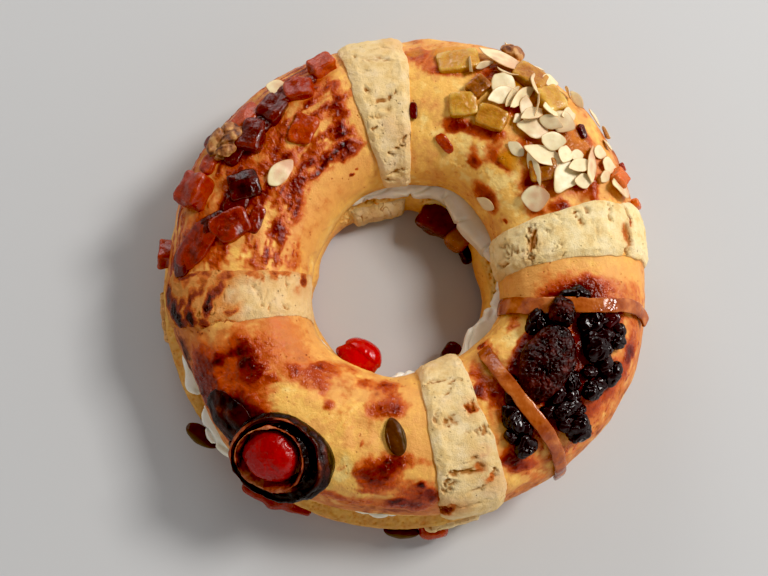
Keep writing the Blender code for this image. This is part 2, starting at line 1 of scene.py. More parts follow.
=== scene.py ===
"""A roscon de reyes: a ring of sweet bread, sliced flat, filled with cream and dressed.

The layers come first, from the table up, then the sugar paste, the fruit, and the nuts and
seeds. Lengths are in metres, with the origin under the middle of the ring, +Z up.
Turns are degrees round the ring, anticlockwise from +X as seen from above.
"""

import math

import bpy
import numpy as np
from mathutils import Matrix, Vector


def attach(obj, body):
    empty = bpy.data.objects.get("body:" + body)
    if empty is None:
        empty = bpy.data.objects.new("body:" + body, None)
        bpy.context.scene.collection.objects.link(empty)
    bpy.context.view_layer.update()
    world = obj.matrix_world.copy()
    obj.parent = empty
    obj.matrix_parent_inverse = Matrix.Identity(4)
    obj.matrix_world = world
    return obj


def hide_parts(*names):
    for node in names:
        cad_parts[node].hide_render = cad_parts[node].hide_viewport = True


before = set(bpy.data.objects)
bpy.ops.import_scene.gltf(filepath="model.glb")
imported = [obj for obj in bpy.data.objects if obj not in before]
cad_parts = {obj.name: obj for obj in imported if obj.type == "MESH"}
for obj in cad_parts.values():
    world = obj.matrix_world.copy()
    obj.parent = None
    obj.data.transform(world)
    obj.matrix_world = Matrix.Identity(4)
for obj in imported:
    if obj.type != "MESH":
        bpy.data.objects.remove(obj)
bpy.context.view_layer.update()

# The table, the light and the camera.
# A pale matt table top, one soft window on the right, a weaker one behind, and a dim room.
# The camera stands nearly straight above, a little towards the viewer.

MM = 0.001
CAMERA_ELEVATION = math.radians(78.0)
CAMERA_DISTANCE = 0.700
CAMERA_LENS = 63.6
TABLE_SIZE = 6.0
CAMERA_TARGET = Vector((-0.0092, 0.0033, 0.0))


def add(tree, kind, inputs=(), **settings):
    """Add a shader node, with its settings, and feed its inputs with values or sockets."""
    made = tree.nodes.new(kind)
    for key, value in settings.items():
        setattr(made, key, value)
    for key, value in dict(inputs).items():
        if isinstance(value, bpy.types.NodeSocket):
            tree.links.new(value, made.inputs[key])
        else:
            made.inputs[key].default_value = value
    return made


def new_material(name):
    """A named Principled material, as (material, its tree, its shader)."""
    made = bpy.data.materials.new(name)
    made.use_nodes = True
    return made, made.node_tree, made.node_tree.nodes["Principled BSDF"]


def mixed(tree, factor, first, second, blend_type="MIX"):
    """Two colours mixed by a factor."""
    made = add(tree, "ShaderNodeMix", data_type="RGBA", blend_type=blend_type)
    for slot, value in (("Factor", factor), ("A", first), ("B", second)):
        socket = next(s for s in made.inputs if s.name == slot and s.enabled)
        if isinstance(value, bpy.types.NodeSocket):
            tree.links.new(value, socket)
        else:
            socket.default_value = value
    return next(s for s in made.outputs if s.enabled)


def tint(red, green, blue):
    """A colour given in display steps of 0 to 255, as linear light."""
    display = np.array([red, green, blue]) / 255.0
    linear = np.where(display > 0.04045, ((display + 0.055) / 1.055) ** 2.4, display / 12.92)
    return (*(float(value) for value in linear), 1.0)


table_look, tree, shader = new_material("table_top")
place = add(tree, "ShaderNodeTexCoord").outputs["Object"]
cloud = add(tree, "ShaderNodeTexNoise", {"Vector": place, "Scale": 3.0, "Detail": 2.0})
pale = mixed(tree, cloud.outputs["Fac"], tint(196, 196, 196), tint(202, 202, 202))
tree.links.new(pale, shader.inputs["Base Color"])
shader.inputs["Roughness"].default_value = 0.75
bpy.ops.mesh.primitive_plane_add(size=TABLE_SIZE, location=(0.0, 0.0, -0.0002))
table = bpy.context.object
table.name = "table"
table.data.materials.append(table_look)


def lamp(name, position, size, power, colour):
    """A square area lamp that faces the ring."""
    data = bpy.data.lights.new(name, "AREA")
    data.size = size
    data.energy = power
    data.color = colour
    made = bpy.data.objects.new(name, data)
    made.location = position
    made.rotation_euler = (-Vector(position)).to_track_quat("-Z", "Y").to_euler()
    bpy.context.scene.collection.objects.link(made)


lamp("window", (1.18, 0.55, 1.45), 0.50, 28.0, (1.0, 0.98, 0.95))
lamp("far_window", (-0.6, 1.8, 0.9), 0.9, 9.0, (0.97, 0.98, 1.0))
world = bpy.data.worlds.new("room")
bpy.context.scene.world = world
world.use_nodes = True
tree = world.node_tree
way = add(tree, "ShaderNodeTexCoord").outputs["Generated"]
way = add(tree, "ShaderNodeSeparateXYZ", {"Vector": way}).outputs
walls = add(tree, "ShaderNodeMapRange", {"Value": way["Z"], "From Min": 0.0, "From Max": 0.9,
                                         "To Min": 1.20, "To Max": 0.13}).outputs["Result"]
shade = add(tree, "ShaderNodeMapRange", {"Value": way["X"], "From Min": -0.8, "From Max": 0.8,
                                         "To Min": 0.68, "To Max": 1.20}).outputs["Result"]
walls = add(tree, "ShaderNodeMath", {0: walls, 1: shade}, operation="MULTIPLY")
tree.links.new(walls.outputs["Value"], tree.nodes["Background"].inputs["Strength"])
tree.nodes["Background"].inputs["Color"].default_value = (0.99, 0.98, 0.97, 1.0)
view = bpy.context.scene.view_settings
view.view_transform = "Standard"
view.use_curve_mapping = True
view.curve_mapping.black_level = (0.010, 0.011, 0.012)
view.curve_mapping.update()

camera_data = bpy.data.cameras.new("camera")
camera_data.lens = CAMERA_LENS
camera_data.sensor_width = 36.0
camera = bpy.data.objects.new("camera", camera_data)
toward = Vector((0.0, math.cos(CAMERA_ELEVATION), -math.sin(CAMERA_ELEVATION)))
camera.location = CAMERA_TARGET - toward * CAMERA_DISTANCE
camera.rotation_euler = toward.to_track_quat("-Z", "Y").to_euler()
bpy.context.scene.collection.objects.link(camera)
bpy.context.scene.camera = camera

# The bread base.
# The lower third of a ring of egg-rich bread, cut flat with a long knife. Its walls are
# baked crust, golden and darker towards the foot; the cut shows yellow crumb with holes.

BASE_CENTRE = np.array([-2.5, -2.0, 0.0]) * MM
BREAD_RADIUS = 116.5 * MM
HOLE_RADIUS = 43.5 * MM
CUT_HEIGHT = 20.0 * MM
BASE_OUTER_FOOT = 6.0 * MM
BASE_INNER_FOOT = 4.0 * MM
BASE_INNER_LIP = 4.0 * MM
BASE_OUTER_SWELLS = [(40, 1.5 * MM, 30), (150, 1.0 * MM, 30), (268, 1.5 * MM, 25)]
BASE_INNER_SWELLS = [(15, -2.5 * MM, 14), (80, 2.0 * MM, 9), (103, -1.0 * MM, 10),
                     (132, 1.0 * MM, 14), (168, -2.5 * MM, 10), (300, -1.0 * MM, 20)]
GRADIENTS = np.random.default_rng(11).normal(size=(256, 3))
GRADIENTS /= np.linalg.norm(GRADIENTS, axis=1, keepdims=True)


def noise(points, size, seed=0, octaves=1):
    """Gradient noise from about -1 to 1, with lumps of a size in metres.

    Each corner of a cubic lattice gets a random slope. The slopes' heights at the point
    are blended with 6t^5 - 15t^4 + 10t^3, and further octaves halve the size and height.
    """
    spots = np.asarray(points, float) / size + 19.7 * (seed + 1)
    total = np.zeros(spots.shape[:-1])
    strength = 1.6
    for _ in range(octaves):
        cell = np.floor(spots).astype(np.int64)
        part = spots - cell
        fade = part ** 3 * (part * (part * 6.0 - 15.0) + 10.0)
        for corner in np.ndindex(2, 2, 2):
            key = (cell + corner) @ np.array([73856093, 19349663, 83492791])
            slope = GRADIENTS[((key ^ (key >> 11)) * 2654435761 >> 7) & 255]
            height = np.sum(slope * (part - corner), axis=-1)
            weight = np.prod(np.where(corner, fade, 1.0 - fade), axis=-1)
            total += strength * weight * height
        spots = spots * 2.03 + 5.7
        strength *= 0.5
    return total


def ease(value, low, high):
    """Smooth step: 0 below low, 1 above high, 3t^2 - 2t^3 between."""
    part = np.clip((value - low) / (high - low), 0.0, 1.0)
    return part * part * (3.0 - 2.0 * part)


def power(value, exponent):
    """value to the exponent, keeping its sign: the term of a superellipse."""
    return np.sign(value) * np.abs(value) ** exponent


def apart(turn, centre):
    """Degrees from a turn to a centre, the short way round."""
    return (np.asarray(turn) - centre + 180.0) % 360.0 - 180.0


def swell(turn, swells):
    """Sum of smooth bumps round the ring, each amount * exp(-(distance / width)^2)."""
    total = np.zeros(np.shape(turn))
    for centre, amount, width in swells:
        total += amount * np.exp(-(apart(turn, centre) / width) ** 2)
    return total


def around(centre, turn, radius, height):
    """Points at turns and radii about a vertical axis."""
    angle = np.radians(turn)
    spots = np.stack([radius * np.cos(angle), radius * np.sin(angle),
                      height + 0.0 * angle], axis=-1)
    return centre + spots


def surface(name, points, look, wrap=(True, True), caps=False, masks=None):
    """A closed mesh from a grid of points, one row for each step of its first parameter.

    wrap joins the last row or column to the first. caps closes the ends of an unwrapped
    first parameter with a fan to the middle of the end row. masks are values by vertex.
    """
    rows, columns = points.shape[:2]
    spots = points.reshape(-1, 3)
    first = np.arange(rows if wrap[0] else rows - 1)[:, None]
    second = np.arange(columns if wrap[1] else columns - 1)[None, :]
    after_row, after_column = (first + 1) % rows, (second + 1) % columns
    corners = [first * columns + second, after_row * columns + second,
               after_row * columns + after_column, first * columns + after_column]
    quads = np.stack(np.broadcast_arrays(*corners), axis=-1).reshape(-1, 4)
    fans = np.zeros((0, 3), int)
    if caps:
        spots = np.vstack([spots, points[0].mean(axis=0), points[-1].mean(axis=0)])
        ring = np.arange(columns)
        ahead = (ring + 1) % columns
        end = (rows - 1) * columns
        start = np.stack([ring, ahead, np.full(columns, rows * columns)], axis=-1)
        close = np.stack([end + ahead, end + ring, np.full(columns, rows * columns + 1)],
                         axis=-1)
        fans = np.vstack([start, close])
    a, b, c, d = (spots[quads[:, k]] for k in range(4))
    middle = spots.mean(axis=0)
    volume = np.sum((a - middle) * np.cross(b - middle, c - middle))
    volume += np.sum((a - middle) * np.cross(c - middle, d - middle))
    if volume < 0.0:
        quads, fans = quads[:, ::-1], fans[:, ::-1]
    mesh = bpy.data.meshes.new(name)
    mesh.vertices.add(len(spots))
    mesh.vertices.foreach_set("co", spots.astype(np.float32).ravel())
    mesh.loops.add(quads.size + fans.size)
    mesh.loops.foreach_set("vertex_index", np.concatenate([quads.ravel(), fans.ravel()]))
    sizes = np.concatenate([np.full(len(quads), 4), np.full(len(fans), 3)])
    mesh.polygons.add(len(sizes))
    mesh.polygons.foreach_set("loop_start", np.cumsum(sizes) - sizes)
    mesh.update(calc_edges=True)
    mesh.validate()
    mesh.shade_smooth()
    for mask, values in (masks or {}).items():
        values = np.asarray(values, float).reshape(-1)
        layer = mesh.attributes.new(mask, "FLOAT", "POINT")
        filled = np.full(len(spots), values.mean())
        filled[:len(values)] = values
        layer.data.foreach_set("value", filled.astype(np.float32))
    mesh.materials.append(look)
    piece = bpy.data.objects.new(name, mesh)
    bpy.context.scene.collection.objects.link(piece)
    return piece


def outward(points):
    """Unit normals of a wrapped grid of points, from its differences both ways."""
    along = np.roll(points, -1, axis=0) - np.roll(points, 1, axis=0)
    across = np.roll(points, -1, axis=1) - np.roll(points, 1, axis=1)
    normal = np.cross(along, across)
    return normal / np.maximum(np.linalg.norm(normal, axis=-1, keepdims=True), 1e-12)


# Baked crust. Three masks in the mesh steer it: the toast mask runs from pale gold by orange tan to
# burnt brown and also carries painted light and painted shade, glaze is dark red fruit syrup that
# ran and set, and crumb is cut or torn bread.
CRUST_STOPS = [(0.00, (250, 212, 130)), (0.20, (242, 186, 94)), (0.40, (228, 162, 86)),
               (0.60, (204, 116, 54)), (0.80, (146, 62, 24)), (1.00, (60, 20, 10))]
GLAZE_STOPS = [(0.00, (224, 140, 60)), (0.30, (208, 108, 46)), (0.56, (172, 65, 24)),
               (0.80, (116, 28, 9)), (1.00, (44, 9, 5))]
# The darkest crumb colour is painted shade in the holes.
CRUMB_STOPS = [(0.00, (212, 128, 56)), (0.35, (244, 174, 92)), (1.00, (252, 208, 132))]


def ramp(tree, factor, stops):
    """A colour ramp through (place, display colour) stops, eased between them."""
    made = add(tree, "ShaderNodeValToRGB", {"Fac": factor})
    band = made.color_ramp
    band.interpolation = "EASE"
    while len(band.elements) < len(stops):
        band.elements.new(0.5)
    for element, (place, colour) in zip(band.elements, stops):
        element.position = place
        element.color = tint(*colour)
    return made.outputs["Color"]


def mask_of(tree, name):
    """The value of a mask kept in the mesh."""
    return add(tree, "ShaderNodeAttribute", attribute_name=name).outputs["Fac"]


def sum_of(tree, first, second, operation="ADD", clamp=False):
    """Two values combined."""
    made = add(tree, "ShaderNodeMath", {0: first, 1: second}, operation=operation,
               use_clamp=clamp)
    return made.outputs["Value"]


def between(tree, value, low, high, new_low=0.0, new_high=1.0):
    """A value taken from one range to another and held inside it."""
    made = add(tree, "ShaderNodeMapRange", {"Value": value, "From Min": low, "From Max": high,
                                            "To Min": new_low, "To Max": new_high},
               interpolation_type="SMOOTHSTEP")
    return made.outputs["Result"]


def new_group(name, takes, gives):
    """A shader node group, as (group, its tree's input sockets, its output node)."""
    group = bpy.data.node_groups.new(name, "ShaderNodeTree")
    for label, value in takes:
        socket = group.interface.new_socket(label, in_out="INPUT",
                                            socket_type="NodeSocketFloat")
        socket.default_value = value
    for label, kind in gives:
        group.interface.new_socket(label, in_out="OUTPUT", socket_type=kind)
    ends = group.nodes.new("NodeGroupInput"), group.nodes.new("NodeGroupOutput")
    return group, ends[0].outputs, ends[1]


# Baked speckle: soft blotches, fine grains and pinholes that every baked surface has.
speckle, takes, gives = new_group(
    "baked_speckle", [("Blotch", 90.0), ("Grain", 900.0), ("Pinholes", 0.3)],
    [("Blotches", "NodeSocketFloat"), ("Pits", "NodeSocketFloat"),
     ("Height", "NodeSocketFloat")])
spot = add(speckle, "ShaderNodeTexCoord").outputs["Object"]
blotch = add(speckle, "ShaderNodeTexNoise", {"Vector": spot, "Scale": takes["Blotch"],
                                             "Detail": 5.0, "Roughness": 0.62})
grain = add(speckle, "ShaderNodeTexNoise", {"Vector": spot, "Scale": takes["Grain"],
                                            "Detail": 3.0, "Roughness": 0.6})
hole = add(speckle, "ShaderNodeTexVoronoi", {"Vector": spot, "Scale": 420.0,
                                             "Randomness": 1.0}, feature="F1")
reach = sum_of(speckle, takes["Pinholes"], 0.9, "MULTIPLY")
pit = between(speckle, sum_of(speckle, hole.outputs["Distance"], reach, "SUBTRACT"),
              -0.12, 0.02, 1.0, 0.0)
chance = add(speckle, "ShaderNodeTexNoise", {"Vector": spot, "Scale": 160.0, "Detail": 1.0})
pit = sum_of(speckle, pit, between(speckle, chance.outputs["Fac"], 0.55, 0.66), "MULTIPLY")
height = sum_of(speckle, grain.outputs["Fac"],
                sum_of(speckle, pit, 2.5, "MULTIPLY"), "SUBTRACT")
speckle.links.new(blotch.outputs["Fac"], gives.inputs["Blotches"])
speckle.links.new(pit, gives.inputs["Pits"])
speckle.links.new(height, gives.inputs["Height"])


def speckled(tree, blotches, grain_scale, pinholes):
    """The baked speckle group with its values."""
    made = tree.nodes.new("ShaderNodeGroup")
    made.node_tree = speckle
    made.inputs["Blotch"].default_value = blotches
    made.inputs["Grain"].default_value = grain_scale
    made.inputs["Pinholes"].default_value = pinholes
    return made.outputs


crust, tree, shader = new_material("baked_crust")
place = add(tree, "ShaderNodeTexCoord").outputs["Object"]
baked = speckled(tree, 110.0, 1100.0, 0.26)
wander = sum_of(tree, sum_of(tree, baked["Blotches"], 0.5, "SUBTRACT"), 0.40, "MULTIPLY")
fleck = add(tree, "ShaderNodeTexNoise", {"Vector": place, "Scale": 430.0, "Detail": 3.0,
                                         "Roughness": 0.65})
fleck = sum_of(tree, sum_of(tree, fleck.outputs["Fac"], 0.5, "SUBTRACT"), 0.55, "MULTIPLY")
# The toast mask brings browning, and also painted light and painted shade.
toast_and_painted_light = sum_of(tree, mask_of(tree, "toast_and_painted_light"), wander, clamp=True)
toast_and_painted_light = sum_of(tree, toast_and_painted_light, sum_of(tree, fleck, 0.45, "MULTIPLY"), clamp=True)
# Pinholes are painted darker: painted shade in them.
toast_and_painted_light = sum_of(tree, toast_and_painted_light, sum_of(tree, baked["Pits"], 0.22, "MULTIPLY"), clamp=True)
skin = ramp(tree, toast_and_painted_light, CRUST_STOPS)
glaze = mask_of(tree, "glaze")
ragged = sum_of(tree, sum_of(tree, wander, 0.45, "MULTIPLY"),
                sum_of(tree, fleck, 0.34, "MULTIPLY"))
syrup = sum_of(tree, glaze, sum_of(tree, ragged, between(tree, glaze, 0.02, 0.35), "MULTIPLY"),
               clamp=True)
skin = mixed(tree, between(tree, syrup, 0.02, 0.40), skin, ramp(tree, syrup, GLAZE_STOPS))
gel = sum_of(tree, mask_of(tree, "gel"), sum_of(tree, wander, 0.8, "MULTIPLY"), clamp=True)
skin = mixed(tree, between(tree, gel, 0.10, 0.75, 0.0, 0.85), skin, tint(204, 132, 34))
hollow = add(tree, "ShaderNodeTexVoronoi", {"Vector": place, "Scale": 520.0,
                                            "Randomness": 1.0}, feature="SMOOTH_F1")
torn = mask_of(tree, "crumb")
# The crumb darkens towards the middle of each hole: painted shade.
bread = ramp(tree, between(tree, hollow.outputs["Distance"], 0.02, 0.55), CRUMB_STOPS)
skin = mixed(tree, torn, skin, bread)
tree.links.new(skin, shader.inputs["Base Color"])
shader.inputs["Specular IOR Level"].default_value = 0.26
dull = sum_of(tree, between(tree, sum_of(tree, syrup, gel), 0.15, 0.6, 0.42, 0.10),
              sum_of(tree, baked["Blotches"], 0.14, "MULTIPLY"))
tree.links.new(sum_of(tree, dull, sum_of(tree, torn, 0.45, "MULTIPLY"), clamp=True),
               shader.inputs["Roughness"])
wrinkles = sum_of(tree, sum_of(tree, fleck, 0.0012, "MULTIPLY"),
                  sum_of(tree, wander, 0.0034, "MULTIPLY"))
relief = sum_of(tree, sum_of(tree, sum_of(tree, baked["Height"], 0.0003, "MULTIPLY"), wrinkles),
                sum_of(tree, sum_of(tree, hollow.outputs["Distance"], torn, "MULTIPLY"),
                       0.004, "MULTIPLY"))
drops = add(tree, "ShaderNodeTexNoise", {"Vector": place, "Scale": 400.0, "Detail": 1.0})
drops = sum_of(tree, drops.outputs["Fac"], between(tree, syrup, 0.3, 0.7), "MULTIPLY")
relief = sum_of(tree, relief, sum_of(tree, drops, 0.0013, "MULTIPLY"))
bump = add(tree, "ShaderNodeBump", {"Height": relief, "Distance": 1.0, "Strength": 0.6})
tree.links.new(bump.outputs["Normal"], shader.inputs["Normal"])


# The base's section runs down the hole's wall, along the foot, up the outer wall and back
# over the cut. Each leg is stepped evenly, with the cut's own lumps and holes on top.

def base_wall(turn, down, side, lift=0.0):
    """Points of the wall: side is 1 outside and -1 in the hole, down is 1 at the foot.

    The outer wall rounds in by a cube law, and the hole's wall bellies out half way down.
    """
    if side > 0:
        radius = BREAD_RADIUS + swell(turn, BASE_OUTER_SWELLS) + lift
        return around(BASE_CENTRE, turn, radius - BASE_OUTER_FOOT * down ** 3,
                      CUT_HEIGHT * (1.0 - down))
    radius = HOLE_RADIUS + swell(turn, BASE_INNER_SWELLS) - lift
    lip = np.maximum(1.0 - down / 0.5, 0.0)
    foot = np.maximum(down / 0.5 - 1.0, 0.0)
    radius = radius + BASE_INNER_LIP * lip ** 2 + BASE_INNER_FOOT * foot ** 3
    return around(BASE_CENTRE, turn, radius, CUT_HEIGHT * (1.0 - down))


BASE_TURNS, WALL_STEPS, FOOT_STEPS, CUT_STEPS = 760, 22, 10, 54
turn = np.linspace(0.0, 360.0, BASE_TURNS, endpoint=False)[:, None]
down = np.linspace(0.0, 1.0, WALL_STEPS)[None, :]
part = np.linspace(0.0, 1.0, FOOT_STEPS + 2)[1:-1][None, :, None]
inner, outer = base_wall(turn, down, -1), base_wall(turn, down[:, ::-1], 1)
foot = inner[:, -1:] * (1.0 - part) + outer[:, :1] * part
part = np.linspace(0.0, 1.0, CUT_STEPS + 2)[1:-1][None, :, None]
cut = outer[:, -1:] * (1.0 - part) + inner[:, :1] * part
legs = np.concatenate([inner, foot, outer, cut], axis=1)
normal = outward(legs)
step = np.arange(legs.shape[1])[None, :]
on_inner = 1.0 * (step < WALL_STEPS - 1) + 0.0 * turn
on_cut = ease(step, 2 * WALL_STEPS + FOOT_STEPS - 2, 2 * WALL_STEPS + FOOT_STEPS)
on_cut = on_cut + 0.0 * turn
on_foot = 1.0 * ((step >= WALL_STEPS - 2) & (step <= WALL_STEPS + FOOT_STEPS + 1)) + 0.0 * turn
height = legs[..., 2] / CUT_HEIGHT
lumps = 0.5 * MM * noise(legs, 16 * MM, 1, 2) + 0.22 * MM * noise(legs, 3 * MM, 2, 2)
pores = 0.8 * MM * ease(noise(legs, 2.6 * MM, 3, 2), 0.15, 0.6)
torn_in = on_inner * ease(noise(legs, 9 * MM, 4, 2) + 0.6 * ease(height, 0.5, 1.0), 0.25, 0.6)
rim = ease(np.linalg.norm((legs - BASE_CENTRE)[..., :2], axis=-1), BREAD_RADIUS - 16 * MM,
           BREAD_RADIUS - 9 * MM)
on_cut = on_cut * (1.0 - 0.66 * rim)
open_crumb = np.clip(on_cut + torn_in * ease(apart(turn, 95.0) ** 2, 1500.0, 500.0), 0, 1)
sunk = lumps * (1.0 - on_foot) - pores * open_crumb
legs = legs + normal * sunk[..., None]
legs[..., 2] = np.clip(legs[..., 2], 0.0, CUT_HEIGHT + 0.2 * MM)
toast_and_painted_light = 0.40 + 0.30 * ease(height, 0.45, 0.0) - 0.16 * ease(height, 0.6, 1.0)
toast_and_painted_light += 0.10 * noise(legs, 18 * MM, 5, 3) + rim * (0.10 + 0.24 * noise(legs, 6 * MM, 9, 2))
toast_and_painted_light += on_inner * (0.02 - 0.10 * ease(height, 0.2, 0.8))
# Low on the hole's wall round turn 12 the crust is darker.
toast_and_painted_light += 0.5 * on_inner * ease(height, 0.42, 0.05) * ease(np.abs(apart(turn, 12.0)), 42.0, 26.0)
toast_and_painted_light = np.where(on_foot > 0.5, 0.70 + 0.12 * noise(legs, 14 * MM, 6, 3), toast_and_painted_light)
glaze = 0.9 * on_inner * ease(np.abs(apart(turn, 52.0)), 22.0, 12.0) * ease(height, 0.9, 0.5)
base = surface("bread_base_crust", legs, crust,
               masks={"toast_and_painted_light": toast_and_painted_light, "glaze": glaze, "crumb": open_crumb})
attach(base, "root")
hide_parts("bread_base")

# The cream.
# Whipped cream, piped in a thick layer and pressed out past the bread by the lid. It bulges
# in soft billows, most of all on the right of the hole, where it sags over the base.

CREAM_HEIGHT = 10.0 * MM
GAP = 0.3 * MM
CREAM_OUTER = 114.0 * MM
CREAM_INNER = 47.5 * MM
CREAM_OUTER_SWELLS = [(188, -7.0 * MM, 13), (206, 2.5 * MM, 3), (210.5, -5.0 * MM, 3),
                      (221, 5.0 * MM, 8), (250, -5.0 * MM, 12), (264, 2.0 * MM, 4),
                      (278, -5.0 * MM, 12)]
CREAM_INNER_SWELLS = [(329, -6.0 * MM, 16), (276, -6.5 * MM, 12), (40, -4.5 * MM, 14),
                      (66, 3.0 * MM, 9), (8, 1.5 * MM, 8), (218, -1.5 * MM, 14)]
CREAM_TURNS, CREAM_STEPS = 820, 84

cream_look, tree, shader = new_material("whipped_cream")
place = add(tree, "ShaderNodeTexCoord").outputs["Object"]
soft = add(tree, "ShaderNodeTexNoise", {"Vector": place, "Scale": 120.0, "Detail": 4.0})
tone = between(tree, soft.outputs["Fac"], 0.3, 0.7)
thin = mixed(tree, tone, tint(232, 224, 200), tint(244, 240, 226))
# Tan along its top, right under the lid: painted shade.
tree.links.new(mixed(tree, mask_of(tree, "lid_shade"), thin, tint(214, 178, 108)),
               shader.inputs["Base Color"])
shader.inputs["Roughness"].default_value = 0.42
shader.inputs["Subsurface Weight"].default_value = 0.15
shader.inputs["Subsurface Radius"].default_value = (0.004, 0.003, 0.002)
bump = add(tree, "ShaderNodeBump", {"Height": soft.outputs["Fac"], "Distance": 0.0008,
                                    "Strength": 0.5})
tree.links.new(bump.outputs["Normal"], shader.inputs["Normal"])

turn = np.linspace(0.0, 360.0, CREAM_TURNS, endpoint=False)[:, None]
sweep = np.linspace(0.0, 2.0 * math.pi, CREAM_STEPS, endpoint=False)[None, :]
outer = CREAM_OUTER + swell(turn, CREAM_OUTER_SWELLS)
inner = CREAM_INNER + swell(turn, CREAM_INNER_SWELLS)
radius = 0.5 * (outer + inner) + 0.5 * (outer - inner) * power(np.cos(sweep), 0.35)
rise = power(np.sin(sweep), 0.6)
height = CUT_HEIGHT + 0.5 * CREAM_HEIGHT + (0.5 * CREAM_HEIGHT - GAP) * rise
edge = ease(np.abs(np.cos(sweep)), 0.45, 0.95)
folds = around(BASE_CENTRE, turn, radius, height)
billow = 1.5 * MM * noise(folds * [1, 1, 1.6], 15 * MM, 7, 2)
crease = -1.7 * MM * ease(np.abs(noise(folds * [1, 1, 0.7], 12 * MM, 8, 1)), 0.16, 0.0)
sag = 3.4 * MM * ease(np.abs(apart(turn, 42.0)), 34.0, 16.0) * ease(-rise, 0.2, 1.0)
sag = sag * (np.cos(sweep) < 0.0)
folds = folds + outward(folds) * (edge * (billow + crease) + edge * sag)[..., None]
folds[..., 2] -= 1.2 * edge * sag
# Painted shade: the cream's top, right under the lid, is tinted tan.
lid_shade = ease(rise + 0.0 * turn, 0.86, 1.0) * 0.6
cream = surface("whipped_cream", folds, cream_look, masks={"lid_shade": lid_shade})
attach(cream, "root")
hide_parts("cream_filling")

# The lid.
# The upper two thirds of the ring: a glossy loaf arch brushed with egg, cut flat below. Fruit
# syrup ran from the toppings and burnt on in dark red blotches; the rest went gold to orange.

LID_CENTRE = BASE_CENTRE + np.array([5.0, 4.5, 0.0]) * MM
LID_BASE = CUT_HEIGHT + CREAM_HEIGHT
LID_OUTER = BREAD_RADIUS + 3.0 * MM
LID_INNER = HOLE_RADIUS + 3.5 * MM
CROWN_HEIGHT = 32.0 * MM
LID_OUTER_SWELLS = [(62, 4.5 * MM, 34), (97, -2.0 * MM, 14), (150, 1.0 * MM, 25),
                    (176, -2.4 * MM, 20), (207, -4.0 * MM, 11), (230, 2.0 * MM, 14),
                    (268, -3.0 * MM, 22), (332, 1.2 * MM, 16), (5, -4.2 * MM, 24)]
LID_INNER_SWELLS = [(222, 6.0 * MM, 32), (262, 2.5 * MM, 14), (150, -3.0 * MM, 25),
                    (8, -3.5 * MM, 20), (62, 2.0 * MM, 16), (335, 2.0 * MM, 14)]
LID_CROWN_SWELLS = [(97, -1.5 * MM, 10), (15, -1.5 * MM, 10), (290, -1.5 * MM, 10),
                    (186, -1.0 * MM, 10), (330, 1.5 * MM, 20), (55, 1.5 * MM, 20),
                    (235, 1.0 * MM, 20)]
LID_FULLNESS = 2.0 / 2.4
RIM_DROP = 100.0 * MM
SPOT_DEPTH = 20.0 * MM
LID_TURNS, ARCH_STEPS, SLICE_STEPS = 620, 134, 13

# Browning that comes and goes softly, with some painted light: (turn, across, length, breadth,
# heading, amount).
# Lengths are in millimetres, headings in degrees as seen from above.
BROWNING_AND_PAINTED_LIGHT = [
    (140, 0.77, 90, 26, 50, 0.10), (165, 0.78, 40, 22, 75, 0.08), (130, 0.42, 90, 46, 40, 0.16),
    (165, 0.40, 70, 60, 75, 0.16), (212, 0.66, 50, 46, 120, 0.14),
    (208, 0.30, 54, 40, 130, 0.36), (204, 0.60, 40, 44, 115, 0.16),
    (204, 0.12, 50, 20, 120, 0.46), (217, 0.20, 40, 14, 130, 0.30), (233, 0.52, 44, 18, 150, -0.10),
    (80, 0.72, 30, 34, 0, 0.06), (36, 0.86, 46, 24, 130, 0.18), (352, 0.66, 46, 46, 90, 0.16),
    (350, 0.36, 36, 34, 90, 0.14), (312, 0.36, 84, 60, 45, 0.12), (335, 0.20, 70, 24, 70, 0.18),
    (322, 0.74, 26, 18, 40, -0.22), (262, 0.12, 70, 16, 170, 0.34), (271, 0.45, 12, 60, 90, 0.12),
    (32, 0.12, 90, 22, 115, 0.18), (86, 0.25, 24, 16, 0, 0.12), (250, 0.62, 50, 30, 160, 0.08),
    (245, 0.72, 60, 20, 160, 0.14), (233, 0.30, 30, 20, 150, 0.12),
    # Painted light: the pale spots at turns 60 and 42 here lighten the arch's side towards the
    # hole.
    (60, 0.66, 40, 22, 150, -0.18), (42, 0.72, 66, 18, 135, -0.16), (246, 0.62, 26, 20, 150, -0.20),
    (252, 0.30, 22, 34, 90, -0.16), (226, 0.42, 30, 10, 140, -0.20),
    # Painted light: the pale spot at turn 52 here lightens the arch's side towards the hole.
    (52, 0.84, 120, 26, 130, -0.16), (230, 0.66, 30, 20, 150, 0.10), (150, 0.12, 90, 18, 60, 0.18),
    (303, 0.70, 16, 26, 130, 0.14), (222, 0.62, 30, 24, 140, 0.06), (60, 0.12, 60, 14, 150, 0.20),
    (140, 0.16, 110, 26, 50, 0.14), (140, 0.96, 70, 9, 50, -0.20),
    (77, 0.47, 40, 12, 175, -0.16), (293, 0.10, 60, 14, 20, 0.08),
    (253, 0.42, 26, 14, 10, -0.08), (28, 0.70, 30, 18, 120, -0.12), (250, 0.30, 20, 30, 90, -0.08),
    (222, 0.30, 30, 8, 150, -0.14), (168, 0.16, 22, 14, 90, -0.20), (12, 0.90, 20, 16, 0, 0.14),
]
